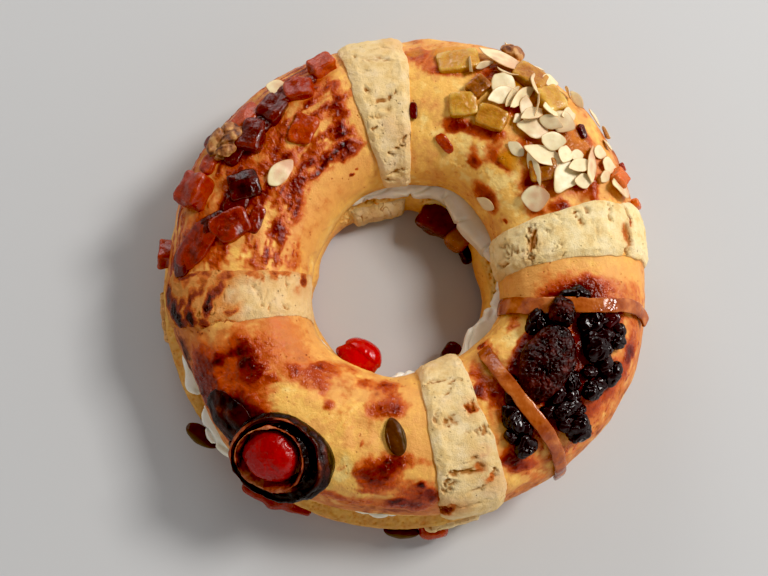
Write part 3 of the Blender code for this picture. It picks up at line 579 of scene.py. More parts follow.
# Syrup that ran and set, soft at its edges: (turn, across, length, breadth, heading, amount).
# The spots round the quince are weakened together, to the nearest hundredth.
QUINCE_STRENGTH = 0.80
QUINCE_SYRUP = [
    (119, 0.36, 26, 16, 30, 0.80), (130, 0.35, 28, 16, 42, 0.86), (138, 0.38, 24, 14, 50, 0.85),
    (142, 0.33, 24, 16, 55, 0.85), (148, 0.38, 20, 13, 60, 0.85), (112, 0.25, 18, 16, 20, 0.70),
    (114, 0.47, 9, 24, 110, 0.72), (116, 0.60, 14, 16, 60, 0.92), (119, 0.665, 26, 8, 28, 0.86),
    (127, 0.65, 20, 7, 37, 0.76), (135, 0.635, 24, 7, 44, 0.80), (122, 0.52, 26, 12, 36, 0.50),
    (130, 0.57, 44, 8, 42, 0.64), (143, 0.61, 16, 8, 55, 0.72), (147, 0.47, 9, 9, 0, 0.86),
    (150, 0.64, 22, 8, 70, 0.82), (154, 0.47, 28, 20, 60, 0.66), (161, 0.47, 28, 17, 70, 0.96),
    (166, 0.655, 13, 12, 75, 0.95), (169, 0.48, 32, 22, 75, 0.62), (171, 0.36, 30, 16, 80, 0.80),
    (176, 0.28, 26, 20, 90, 0.66), (178, 0.58, 34, 6, 88, 0.62), (174, 0.745, 18, 15, 85, 0.74),
    (178, 0.20, 14, 9, 90, 0.90), (157, 0.59, 20, 8, 65, 0.62), (180, 0.52, 8, 7, 90, 0.72),
    (156, 0.70, 10, 10, 60, 0.66),
]
SYRUP = [
    (137, 0.51, 12, 14, 0, 0.34), (112.5, 0.42, 10, 4, 110, 0.62), (112.5, 0.47, 8, 5, 20, 0.66),
    (113.5, 0.52, 11, 5, 20, 0.66), (116.5, 0.57, 10, 7, 100, 0.62), (118, 0.625, 11, 7, 30, 0.66),
    (122, 0.65, 13, 7, 30, 0.68), (132, 0.648, 13, 4, 40, 0.60), (152, 0.665, 13, 5, 60, 0.66),
    (166, 0.62, 11, 9, 70, 0.70), (160, 0.46, 14, 12, 60, 0.80), (140, 0.30, 30, 14, 50, 0.60),
    (125, 0.30, 24, 12, 30, 0.60), (184, 0.61, 14, 5, 88, 0.44), (186, 0.45, 12, 6, 80, 0.44),
    (170, 0.43, 22, 10, 60, 0.80), (121, 0.78, 4, 3, 20, 0.95), (117, 0.765, 3, 2, 20, 0.75),
    (180, 0.67, 22, 5, 88, 0.42), (165, 0.24, 20, 8, 85, 0.40), (209, 0.33, 46, 30, 20, 0.60),
    (212, 0.475, 36, 11, 120, 0.56), (206, 0.22, 30, 18, 110, 0.56), (210, 0.57, 50, 34, 120, 0.34),
    (225, 0.47, 44, 14, 130, 0.20), (233, 0.66, 24, 20, 30, 0.14), (207.5, 0.345, 6, 7, 80, 0.74),
    (212, 0.455, 5, 8, 110, 0.74), (217, 0.50, 6, 6, 0, 0.60), (221, 0.515, 6, 5, 0, 0.55),
    (208, 0.43, 20, 5, 20, 0.60), (218, 0.41, 26, 16, 110, 0.34), (215, 0.54, 26, 14, 100, 0.16),
    (211, 0.12, 30, 12, 130, 0.70), (219, 0.17, 30, 14, 130, 0.76), (222, 0.35, 40, 15, 160, 0.95),
    (226, 0.22, 22, 16, 140, 0.80), (223.5, 0.60, 10, 10, 0, 0.56), (231, 0.66, 22, 18, 30, 0.46),
    (234, 0.75, 12, 9, 30, 0.34), (229, 0.71, 12, 6, 30, 0.44), (241, 0.56, 7, 6, 0, 0.46),
    (238, 0.60, 22, 6, 110, 0.26), (246, 0.66, 30, 8, 70, 0.26), (261.5, 0.352, 24, 19, 0, 0.80),
    (258.5, 0.36, 12, 12, 0, 0.24), (264.5, 0.395, 14, 6, 10, 0.40), (267, 0.42, 14, 10, 20, 0.40),
    (261.5, 0.62, 25, 14, 0, 0.62), (264, 0.61, 12, 8, 0, 0.40), (261, 0.76, 14, 16, 0, 0.50),
    (254, 0.75, 20, 8, 170, 0.40), (240, 0.83, 16, 10, 140, 0.40), (271.5, 0.24, 22, 26, 90, 0.60),
    (271, 0.42, 6, 44, 86, 0.40), (262, 0.17, 56, 9, 176, 0.48), (270, 0.14, 24, 10, 176, 0.46),
    (255.5, 0.47, 4, 4, 0, 0.52), (272.5, 0.31, 5, 4, 0, 0.86), (266.5, 0.19, 9, 4, 10, 0.80),
    (251, 0.18, 22, 7, 170, 0.46), (247, 0.52, 30, 14, 160, 0.22), (275, 0.245, 7, 12, 90, 0.62),
    (250, 0.74, 14, 6, 60, 0.26), (252, 0.36, 8, 5, 30, 0.30), (260, 0.25, 14, 4, 170, 0.40),
    (297.3, 0.615, 8, 9, 90, 0.90), (297, 0.33, 13, 12, 150, 0.86), (299.5, 0.26, 15, 9, 20, 0.72),
    (303, 0.53, 22, 16, 120, 0.66), (302, 0.37, 15, 15, 120, 0.84), (303, 0.62, 22, 8, 130, 0.30),
    (323, 0.64, 44, 9, 66, 0.80), (325, 0.50, 46, 30, 66, 0.86), (341, 0.42, 30, 20, 40, 0.82),
    (349, 0.51, 34, 14, 178, 0.86), (350.5, 0.52, 40, 22, 178, 0.52), (347, 0.355, 6, 5, 150, 0.90),
    (352, 0.27, 22, 20, 90, 0.42), (338, 0.215, 8, 11, 80, 0.80), (334, 0.25, 24, 16, 60, 0.50),
    (325, 0.27, 26, 14, 50, 0.46), (313, 0.77, 22, 10, 130, 0.50), (331, 0.77, 14, 10, 60, 0.50),
    (312, 0.83, 5, 5, 0, 0.68), (326, 0.385, 16, 13, 0, 0.66), (301, 0.69, 18, 10, 120, 0.50),
    (308, 0.22, 24, 12, 40, 0.46), (343, 0.22, 20, 10, 80, 0.48), (310, 0.34, 18, 12, 40, 0.56),
    (319, 0.28, 18, 10, 50, 0.50), (318, 0.60, 24, 8, 62, 0.70), (336, 0.63, 14, 12, 62, 0.90),
    (337, 0.42, 30, 18, 60, 0.80), (318, 0.40, 24, 18, 50, 0.84), (311, 0.52, 16, 14, 60, 0.86),
    (329, 0.31, 20, 10, 55, 0.50), (330, 0.22, 50, 12, 58, 0.30), (316, 0.20, 30, 9, 45, 0.24),
    (84.5, 0.35, 30, 17, 160, 0.50), (78, 0.415, 24, 7, 172, 0.50), (46, 0.64, 14, 8, 130, 0.50),
    (58, 0.72, 12, 8, 150, 0.46), (28, 0.61, 28, 7, 115, 0.56), (44, 0.82, 24, 14, 135, 0.40),
    (50, 0.46, 60, 22, 130, 0.46), (30, 0.42, 44, 26, 115, 0.50), (60, 0.35, 40, 20, 150, 0.46),
    (33, 0.55, 34, 16, 120, 0.44), (57, 0.60, 30, 12, 150, 0.30), (60, 0.70, 14, 9, 100, 0.40),
    (20, 0.51, 10, 6, 110, 0.60), (28, 0.29, 14, 8, 100, 0.40), (36, 0.31, 12, 8, 120, 0.44),
    (66, 0.37, 30, 10, 155, 0.40), (70, 0.60, 12, 8, 160, 0.44), (73, 0.595, 12, 9, 0, 0.52),
    (65, 0.60, 30, 7, 165, 0.54), (58, 0.56, 14, 8, 150, 0.46), (50.5, 0.64, 16, 11, 140, 0.50),
    (43.5, 0.82, 20, 12, 140, 0.48), (57, 0.71, 7, 9, 90, 0.34), (33, 0.62, 15, 13, 0, 0.52),
    (25, 0.65, 20, 7, 110, 0.46), (20.5, 0.53, 14, 8, 20, 0.58), (44, 0.53, 16, 9, 140, 0.50),
    (38, 0.33, 8, 7, 120, 0.56), (27, 0.40, 24, 9, 110, 0.38), (64, 0.40, 20, 10, 150, 0.44),
    (56, 0.36, 20, 10, 140, 0.40), (43, 0.41, 18, 9, 130, 0.36), (31, 0.47, 22, 16, 120, 0.40),
    (26, 0.78, 5, 3, 0, 0.72), (57, 0.47, 18, 10, 150, 0.40), (73, 0.34, 16, 8, 170, 0.34),
    (20, 0.27, 18, 12, 100, 0.32), (19, 0.40, 16, 6, 90, 0.34), (38, 0.45, 40, 24, 120, 0.16),
    (88, 0.30, 10, 14, 90, 0.34), (34, 0.20, 40, 10, 110, 0.20),
]
# Clear amber jelly, given the same way.
JELLY = [
    (76.5, 0.33, 28, 18, 165, 0.85), (59, 0.34, 26, 24, 150, 0.75), (50, 0.37, 20, 20, 120, 0.70),
    (44, 0.45, 30, 12, 130, 0.55), (46, 0.61, 14, 9, 140, 0.70), (38, 0.54, 24, 10, 120, 0.60),
    (64, 0.41, 16, 9, 0, 0.60), (30, 0.42, 22, 9, 120, 0.50), (61, 0.52, 34, 9, 160, 0.55),
    (88, 0.30, 8, 12, 90, 0.50), (53, 0.27, 40, 14, 140, 0.45), (36, 0.38, 24, 16, 120, 0.40),
]


def lid_skin(turn, across, lift=0.0):
    """Points of the lid's skin. across is 0 at the rim, 0.5 on the crown, 1 at the hole.

    The section is half a superellipse: cos and sin of a sweep raised to its fullness.
    """
    turn = np.asarray(turn, float)
    outer = LID_OUTER + swell(turn, LID_OUTER_SWELLS) + lift
    inner = LID_INNER + swell(turn, LID_INNER_SWELLS) - lift
    crown = CROWN_HEIGHT + swell(turn, LID_CROWN_SWELLS) + lift
    sweep = math.pi * np.maximum(across, 0.0)
    reach = power(np.cos(sweep), LID_FULLNESS)
    radius = 0.5 * (outer + inner) + 0.5 * (outer - inner) * reach
    height = LID_BASE + crown * power(np.abs(np.sin(sweep)), LID_FULLNESS)
    height = height + RIM_DROP * np.minimum(across, 0.0)
    return around(LID_CENTRE, turn, radius, height)


def lid_basis(turn, across):
    """Directions along the ring, inward over the skin, and out of it."""
    turn, across = np.asarray(turn, float), np.clip(across, 0.004, 0.996)
    along = lid_skin(turn + 0.05, across) - lid_skin(turn - 0.05, across)
    inward = lid_skin(turn, across + 0.003) - lid_skin(turn, across - 0.003)
    along = along / np.linalg.norm(along, axis=-1, keepdims=True)
    out = np.cross(along, inward)
    out = out / np.linalg.norm(out, axis=-1, keepdims=True)
    return along, np.cross(out, along), out


def heading_axes(turn, across, heading):
    """Directions over the skin towards a heading seen from above, to its left, and out."""
    along, inward, out = lid_basis(turn, across)
    aim = math.radians(heading - turn - 90.0)
    forward = along * math.cos(aim) + inward * math.sin(aim)
    return forward, np.cross(out, forward), out


def spread(points, row):
    """How far points are from the middle of an oval spot, in its own half widths."""
    turn, across, length, breadth, heading = row[:5]
    forward, side, out = heading_axes(turn, across, heading)
    away = points - lid_skin(turn, across)
    ahead, aside = away @ forward, away @ side
    return np.sqrt((ahead / (0.5 * length * MM)) ** 2 + (aside / (0.5 * breadth * MM)) ** 2
                   + (away @ out / SPOT_DEPTH) ** 2)


turn = np.linspace(0.0, 360.0, LID_TURNS, endpoint=False)[:, None]
across = np.linspace(0.0, 1.0, ARCH_STEPS)[None, :]
across = across - 0.045 * np.sin(2.0 * np.pi * across)
arch = lid_skin(turn, across)
part = np.linspace(0.0, 1.0, SLICE_STEPS + 2)[1:-1][None, :, None]
slice_face = arch[:, -1:] * (1.0 - part) + arch[:, :1] * part
loaf = np.concatenate([arch, slice_face], axis=1)
across = np.concatenate([across, np.linspace(1.0, 0.0, SLICE_STEPS)[None, :]], axis=1)
normal = outward(loaf)
is_slice = 1.0 * (np.arange(loaf.shape[1])[None, :] >= ARCH_STEPS) + 0.0 * turn
wobble = np.stack([noise(loaf, 8 * MM, 21, 3), noise(loaf, 8 * MM, 22, 3),
                   noise(loaf, 8 * MM, 20, 3)], axis=-1)
drifted = loaf + 1.9 * MM * wobble
toast_and_painted_light = 0.31 + 0.20 * ease(across, 0.26, 0.04) + 0.0 * turn
for row in BROWNING_AND_PAINTED_LIGHT:
    toast_and_painted_light += row[5] * np.exp(-1.4 * spread(loaf, row) ** 2)
smooth_zone = ease(np.abs(apart(turn, 140.0)), 36.0, 26.0) * ease(across, 0.62, 0.72)
smooth_zone = np.maximum(smooth_zone, ease(np.abs(apart(turn, 355.0)), 16.0, 8.0))
smooth_zone = np.maximum(smooth_zone, ease(np.abs(apart(turn, 212.0)), 16.0, 9.0)
                         * ease(across, 0.5, 0.62))
smooth_zone = np.maximum(smooth_zone, ease(np.abs(apart(turn, 272.0)), 7.0, 4.0))
toast_and_painted_light += (1.0 - 0.75 * smooth_zone) * (0.19 * noise(loaf, 9 * MM, 23, 3)
                                       + 0.12 * noise(loaf, 3.2 * MM, 24, 2))
# Short creases run with the ring where the dough stretched as it rose. They are painted darker:
# painted shade in the creases.
ringwise = np.stack(np.broadcast_arrays(np.radians(turn) * 40 * MM, across * 110 * MM,
                                        0.0 * turn), axis=-1)
crease = ease(np.abs(noise(ringwise + 0.5 * MM * wobble, 5 * MM, 18, 2)), 0.09, 0.0)
crease *= ease(noise(loaf, 11 * MM, 19, 2), -0.05, 0.35) * (1.0 - smooth_zone)
toast_and_painted_light += 0.16 * crease

# Stains build up where they overlap: 1 less the product of what each leaves clear. Their
# thin outer parts break up into spots.
clear = np.ones(toast_and_painted_light.shape)
stains = [(*row[:5], round(QUINCE_STRENGTH * row[5], 2)) for row in QUINCE_SYRUP] + SYRUP
for row in stains:
    clear *= 1.0 - row[5] * ease(spread(drifted, row), 1.5, 0.25)
glaze = 1.0 - clear
grit = np.clip(0.5 + 0.9 * noise(loaf, 2.4 * MM, 39, 2), 0.0, 1.0)
glaze = 1.08 * glaze - 0.30 * grit * ease(glaze, 0.0, 0.25) * (1.0 - glaze)
# Amber jelly from the other fruit lies clear and yellow over the crust.
gel = np.zeros(toast_and_painted_light.shape)
for row in JELLY:
    gel = np.maximum(gel, row[5] * ease(spread(drifted, row), 1.4, 0.4))
# Round the quince the whole crust is glazed, streaked along the ring and ending in a rim.
QUINCE_TURNS = [108, 114, 122, 130, 140, 146, 152, 160, 168, 175, 182, 190]
QUINCE_REACH = [0.40, 0.66, 0.70, 0.69, 0.66, 0.69, 0.72, 0.70, 0.76, 0.80, 0.68, 0.62]
reach = np.interp(turn, QUINCE_TURNS, QUINCE_REACH) + 0.035 * wobble[..., 0]
zone = ease(across, reach + 0.02, reach - 0.05) * ease(across, 0.04, 0.16)
zone *= ease(turn + 2.0 * wobble[..., 1], 109.0, 113.0) * ease(turn, 187.0, 179.0)
ringwise = np.stack(np.broadcast_arrays(np.radians(turn) * 17 * MM, across * 110 * MM,
                                        0.0 * turn), axis=-1) + 0.8 * MM * wobble
streak = 0.75 * noise(ringwise, 3.8 * MM, 31, 3) + 0.25 * noise(loaf, 2.6 * MM, 32, 2)
glaze = np.maximum(glaze, zone * np.clip(0.42 + 0.95 * streak, 0.16, 0.84))
glaze = np.maximum(glaze, zone * 0.78 * ease(np.abs(reach - 0.03 - across), 0.032, 0.0)
                   * ease(noise(loaf, 6 * MM, 33, 2), 0.0, 0.40))
glaze = glaze - 0.34 * zone * ease(-streak, 0.10, 0.36) * ease(across, 0.40, 0.46)
# Round the dark fruit at the right of the front it is mottled with small red spots.
zone = ease(np.abs(apart(turn, 326.0)), 36.0, 24.0) * ease(np.abs(across - 0.38), 0.36, 0.22)
zone = zone * (1.0 - ease(across, 0.6, 0.7) * ease(np.abs(apart(turn, 322.0)), 12.0, 8.0))
mottle = 0.25 + 0.44 * noise(loaf, 3.4 * MM, 34, 3)
glaze = np.maximum(glaze, zone * np.clip(mottle, 0.0, 0.75))
# Elsewhere a thin egg wash left faint freckles.
freckle = ease(noise(loaf, 4.2 * MM, 35, 2), 0.30, 0.75) * (1.0 - smooth_zone)
glaze = np.maximum(glaze, 0.26 * freckle * ease(noise(loaf, 22 * MM, 36), -0.2, 0.3))
clot = ease(noise(loaf, 2.6 * MM, 37, 2), 0.25, 0.7) * ease(glaze, 0.45, 0.75)
glaze = np.clip(glaze + 0.14 * clot - 0.05, 0.0, 0.95) * (1.0 - is_slice)

dimples = -1.3 * MM * ease(noise(loaf, 17 * MM, 26, 2), 0.1, 0.9)
relief = 0.8 * MM * noise(loaf, 26 * MM, 27, 2) + 0.30 * MM * noise(loaf, 7 * MM, 28, 2)
relief += dimples * (1.0 - smooth_zone)
relief += 0.16 * MM * noise(loaf, 2.8 * MM, 38, 1) * (1.0 - smooth_zone)
relief -= 0.45 * MM * crease
relief += glaze * (0.50 * MM * noise(loaf, 3.2 * MM, 29, 2) + 0.2 * MM) + 0.30 * MM * clot
relief = relief * (1.0 - is_slice)
loaf = loaf + normal * relief[..., None]
loaf[..., 2] = np.maximum(loaf[..., 2], LID_BASE + 0.3 * MM * noise(loaf, 4 * MM, 30, 2))
torn = np.clip(is_slice + ease(across, 0.012, 0.0) * (1 - is_slice), 0, 1)
lid = surface("bread_lid_crust", loaf, crust,
              masks={"toast_and_painted_light": np.clip(toast_and_painted_light, 0, 1), "glaze": np.clip(glaze, 0, 1),
                     "gel": gel * (1.0 - is_slice), "crumb": torn})
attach(lid, "root")
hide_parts("bread_lid")

# The sugar paste.
# Butter, sugar and flour rolled into strips and laid over the ring in a cross before baking.
# It baked pale, dry and crumbly and cracked; the left strip caught the syrup and burnt.

PASTE_THICKNESS = 3.0 * MM
PASTE_BITE = 1.2 * MM
CRACK_DEPTH = 2.2 * MM
RUN_STEPS, AROUND_STEPS = 230, 132
# Each strip's edge turns at the rim, crown and hole, on both sides, and its ends across.
PASTE_STRIPS = {
    "back": ((94.0, 89.5, 88.5), (106.3, 107.5, 104.5), (0.01, 0.97)),
    "right": ((1.5, 1.3, -7.0), (14.5, 19.3, 22.0), (0.01, 0.97)),
    "front": ((277.0, 276.5, 273.5), (292.0, 295.7, 301.0), (-0.03, 0.96)),
    "left": ((179.5, 182.5, 181.0), (192.5, 200.0, 209.0), (0.01, 0.97)),
}
# Cracks and pits, where the paste parted: (turn, across, length, breadth, heading, depth).
CRACKS = [
    (101, 0.165, 16, 1.8, 14, 0.8), (104, 0.31, 3, 3, 0, 0.8), (99, 0.29, 6, 1.6, 5, 0.7),
    (97, 0.35, 10, 2.6, 150, 0.6), (100.5, 0.34, 9, 2.4, 175, 0.6), (103.6, 0.48, 6, 2.6, 110, 0.8),
    (97.5, 0.505, 16, 2.6, 18, 0.9), (102, 0.56, 9, 3, 10, 0.5), (98.4, 0.54, 5, 4, 0, 0.6),
    (104, 0.605, 3, 3, 0, 0.7), (92.5, 0.67, 7, 2, 45, 0.7), (94, 0.705, 9, 2.6, 22, 0.9),
    (99, 0.735, 3, 4, 90, 0.8), (96, 0.83, 12, 2.2, 14, 0.8), (101, 0.88, 7, 2.4, 0, 0.7),
    (97, 0.745, 3, 1.5, 0, 0.6), (102.5, 0.40, 6, 2, 20, 0.4), (95, 0.43, 4, 2, 60, 0.4),
    (13.5, 0.262, 10, 2.2, 112, 1.0), (8.2, 0.288, 15, 4.6, 98, 1.0), (2.6, 0.30, 12, 4, 88, 0.8),
    (14.5, 0.365, 11, 2.2, 102, 0.7), (14.5, 0.485, 11, 2.6, 122, 0.9),
    (10.5, 0.44, 9, 1.4, 105, 0.6),
    (16.5, 0.455, 6, 3, 100, 0.6), (10, 0.655, 18, 4.2, 82, 1.0), (15.5, 0.66, 9, 3, 95, 0.7),
    (4.0, 0.665, 10, 3, 80, 0.7), (7, 0.76, 3, 16, 92, 0.7), (12, 0.80, 3, 12, 80, 0.6),
    (1.5, 0.84, 4, 10, 92, 0.7), (17.5, 0.30, 3, 5, 90, 0.6), (6.5, 0.545, 5, 1.5, 130, 0.5),
    (4, 0.43, 3, 2, 0, 0.4), (13, 0.58, 3, 2, 0, 0.5), (2.5, 0.55, 3, 1.6, 40, 0.4),
    (278, 0.715, 3, 3, 0, 0.6), (284, 0.715, 13, 3, 6, 0.9), (290, 0.68, 10, 2, 25, 0.8),
    (286.4, 0.645, 8, 2.2, 58, 0.8), (284, 0.53, 8, 7, 10, 0.9), (279.6, 0.545, 4, 8, 175, 0.6),
    (292.2, 0.553, 5, 8, 150, 1.0), (293, 0.487, 10, 6, 20, 0.8), (289.3, 0.49, 12, 2, 18, 0.6),
    (283.5, 0.355, 17, 3, 13, 1.0), (280.3, 0.322, 8, 5, 20, 0.8), (288, 0.365, 8, 5, 30, 0.6),
    (291, 0.315, 7, 4, 30, 0.8), (286.4, 0.265, 11, 2, 32, 0.6), (279, 0.285, 6, 4, 0, 0.6),
    (278.3, 0.15, 14, 7, 25, 0.9), (284.5, 0.17, 15, 2, 24, 0.6), (287.5, 0.40, 4, 3, 40, 0.7),
    (190, 0.57, 8, 1.4, 140, 0.6), (188.5, 0.72, 9, 1.2, 92, 0.7),
    (195, 0.59, 9, 1.2, 100, 0.5), (199.7, 0.705, 3, 4, 90, 0.8), (197.5, 0.62, 8, 1.2, 95, 0.5),
    (203, 0.50, 7, 3, 80, 0.8), (193, 0.68, 6, 1.0, 60, 0.4),
]
# Burnt and syrup-soaked spots on the paste, given the same way.
SCORCHED = [
    (183.6, 0.40, 12, 6, 60, 0.56), (183.4, 0.56, 10, 5, 30, 0.50), (183.6, 0.30, 12, 7, 90, 0.52),
    (183.8, 0.66, 8, 4, 20, 0.46), (185.2, 0.60, 4, 9, 10, 0.40),
    (186.5, 0.15, 17, 10, 100, 0.90), (191.5, 0.205, 25, 10, 118, 1.0),
    (194.0, 0.30, 8, 13, 10, 1.0),
    (189.5, 0.325, 6, 12, 150, 0.85), (192.3, 0.405, 17, 5, 80, 0.95), (197.3, 0.36, 8, 7, 0, 0.8),
    (199, 0.45, 11, 5, 170, 0.8), (188, 0.455, 14, 4, 55, 0.72), (184.3, 0.48, 12, 6, 40, 0.6),
    (183, 0.31, 16, 4, 15, 0.8), (181, 0.24, 12, 8, 90, 0.6), (196, 0.485, 7, 4, 30, 0.6),
    (186.3, 0.85, 9, 7, 100, 0.62), (192, 0.79, 9, 8, 90, 0.24), (187, 0.385, 10, 4, 60, 0.6),
    (195, 0.24, 10, 5, 60, 0.8), (185, 0.58, 8, 6, 60, 0.35), (183.5, 0.66, 12, 6, 80, 0.4),
    (185, 0.40, 9, 3, 70, 0.55), (190, 0.26, 5, 9, 140, 0.7), (184, 0.72, 5, 8, 90, 0.35),
    (292.6, 0.55, 6, 6, 150, 0.62), (278.6, 0.14, 13, 8, 40, 0.70), (288.5, 0.36, 9, 7, 30, 0.30),
    (8.2, 0.30, 12, 5, 98, 0.45), (12.5, 0.262, 7, 2, 110, 0.7), (290, 0.30, 8, 5, 30, 0.34),
    (10, 0.655, 16, 4, 82, 0.22), (205, 0.62, 22, 10, 90, 0.12), (290, 0.42, 14, 10, 30, 0.16),
]

paste, tree, shader = new_material("sugar_paste")
dry = speckled(tree, 140.0, 1500.0, 0.22)
drift = sum_of(tree, dry["Blotches"], 0.5, "SUBTRACT")
pale = ramp(tree, between(tree, dry["Blotches"], 0.30, 0.72),
            [(0.0, (228, 194, 130)), (0.45, (240, 214, 156)), (1.0, (248, 230, 182))])
bake = sum_of(tree, mask_of(tree, "bake"), sum_of(tree, drift, 0.6, "MULTIPLY"), clamp=True)
pale = mixed(tree, bake, pale, tint(206, 132, 64))
# Pinholes are painted darker: painted shade in them.
pale = mixed(tree, sum_of(tree, dry["Pits"], 0.45, "MULTIPLY"), pale, tint(168, 116, 58))
# Cracks are painted brown: partly the crust showing through, partly painted shade in them.
pale = mixed(tree, between(tree, mask_of(tree, "crack"), 0.20, 0.80, 0.0, 0.92), pale,
             tint(176, 114, 50))
scorch = mask_of(tree, "scorch")
scorch = sum_of(tree, scorch, sum_of(tree, sum_of(tree, drift, 0.9, "MULTIPLY"),
                                     between(tree, scorch, 0.02, 0.3), "MULTIPLY"), clamp=True)
burnt = ramp(tree, scorch, [(0.0, (216, 148, 78)), (0.35, (196, 104, 42)), (0.65, (134, 44, 14)),
                            (1.0, (34, 9, 6))])
tree.links.new(mixed(tree, between(tree, scorch, 0.04, 0.38), pale, burnt),
               shader.inputs["Base Color"])
shader.inputs["Specular IOR Level"].default_value = 0.30
tree.links.new(between(tree, scorch, 0.3, 0.9, 0.78, 0.30), shader.inputs["Roughness"])
bump = add(tree, "ShaderNodeBump", {"Height": dry["Height"], "Distance": 0.0007,
                                    "Strength": 0.8})
tree.links.new(bump.outputs["Normal"], shader.inputs["Normal"])


def through_three(values, part):
    """Smooth curve through values at 0, 0.5 and 1, by Lagrange's formula."""
    first, middle, last = values
    outer = first * (1.0 - part) * (1.0 - 2.0 * part) + last * part * (2.0 * part - 1.0)
    return outer + 4.0 * middle * part * (1.0 - part)


def flat_section(steps):
    """A flattened loop, as (side from 0 to 1, rise from -1 to 1): cos and sin, squared off."""
    sweep = np.linspace(0.0, 2.0 * math.pi, steps, endpoint=False)[None, :]
    return 0.5 - 0.5 * power(np.cos(sweep), 0.62), power(np.sin(sweep), 0.42)


side, rise = flat_section(AROUND_STEPS)
run = np.linspace(0.0, 1.0, RUN_STEPS)[:, None]
ends = np.minimum(np.minimum(run, 1.0 - run) / 0.018, 1.0) ** 0.5
for seed, (label, (low, high, reach)) in enumerate(PASTE_STRIPS.items()):
    full = 0.5 * PASTE_THICKNESS if label == "left" else PASTE_THICKNESS
    across = reach[0] + (reach[1] - reach[0]) * run
    part = np.maximum(across, 0.0)
    rag = noise(np.stack([0 * run, 9 * run, 0 * run + seed], -1), 1.0, 40, 3)
    rag_high = noise(np.stack([0 * run + 5, 9 * run, 0 * run + seed], -1), 1.0, 41, 3)
    low_edge = through_three(low, part) + 0.7 * rag
    high_edge = through_three(high, part) + 0.7 * rag_high
    turn = low_edge + (high_edge - low_edge) * side
    skin = lid_skin(turn, across)
    lump = 0.55 * MM * noise(skin, 9 * MM, 42, 2) + 0.32 * MM * noise(skin, 2.6 * MM, 43, 3)
    wobble = np.stack([noise(skin, 4 * MM, key, 3) for key in (56, 57, 58)], axis=-1)
    drifted = skin + 1.5 * MM * wobble
    crack = np.zeros(turn.shape)
    for row in CRACKS:
        if abs(apart(row[0], 0.5 * (low[1] + high[1]))) < 30.0:
            away = spread(drifted, row) + 0.30 * noise(skin, 1.8 * MM, 44, 2)
            torn = 0.45 + 0.55 * ease(noise(skin * [1, 1, 1.5], 1.7 * MM, 59, 2), -0.35, 0.15)
            crack = np.maximum(crack, row[5] * torn * ease(away, 1.15, 0.45))
    vein = np.abs(noise(skin, 8 * MM, 45 + seed, 2))
    veined = ease(noise(skin, 14 * MM, 46), 0.0, 0.5)
    crack = np.maximum(crack, 0.55 * ease(vein, 0.05, 0.0) * veined)
    scorch, warm = np.zeros(turn.shape), np.zeros(turn.shape)
    for row in SCORCHED:
        if abs(apart(row[0], 0.5 * (low[1] + high[1]))) < 30.0:
            away = spread(drifted, row)
            scorch = np.maximum(scorch, row[5] * ease(away, 1.4, 0.30))
            warm = np.maximum(warm, row[5] * ease(away, 2.8, 0.7))
    thick = full * (0.62 + 0.38 * ease(np.minimum(side, 1.0 - side), 0.0, 0.16))
    lift = np.where(rise > 0.0, rise * (thick + lump) * ends - CRACK_DEPTH * crack * (rise > 0.3),
                    PASTE_BITE * rise)
    lift += np.where(rise > 0.3, scorch * 0.5 * MM * noise(skin, 3 * MM, 48, 2), 0.0)
    bake = 0.06 + 0.24 * ease(noise(skin, 20 * MM, 49, 2), 0.0, 0.8)
    extra = {
        "left": (0.22 + 0.60 * ease(across + 0.05 * wobble[..., 0], 0.56, 0.42)
                 + 0.4 * ease(side, 0.16, 0.0)),
        "front": 0.06 + 0.10 * ease(across, 0.4, 0.1),
        "back": 0.13,
        "right": 0.10 * ease(side, 0.3, 0.0) - 0.12,
    }[label]
    bake = bake + extra + 0.45 * warm
    strip = surface(f"sugar_paste_{label}", lid_skin(turn, across, lift), paste,
                    wrap=(False, True), caps=True,
                    masks={"crack": crack, "scorch": scorch, "bake": np.clip(bake, 0, 1)})
    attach(strip, "root")
    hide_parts(f"paste_strip_{label}")

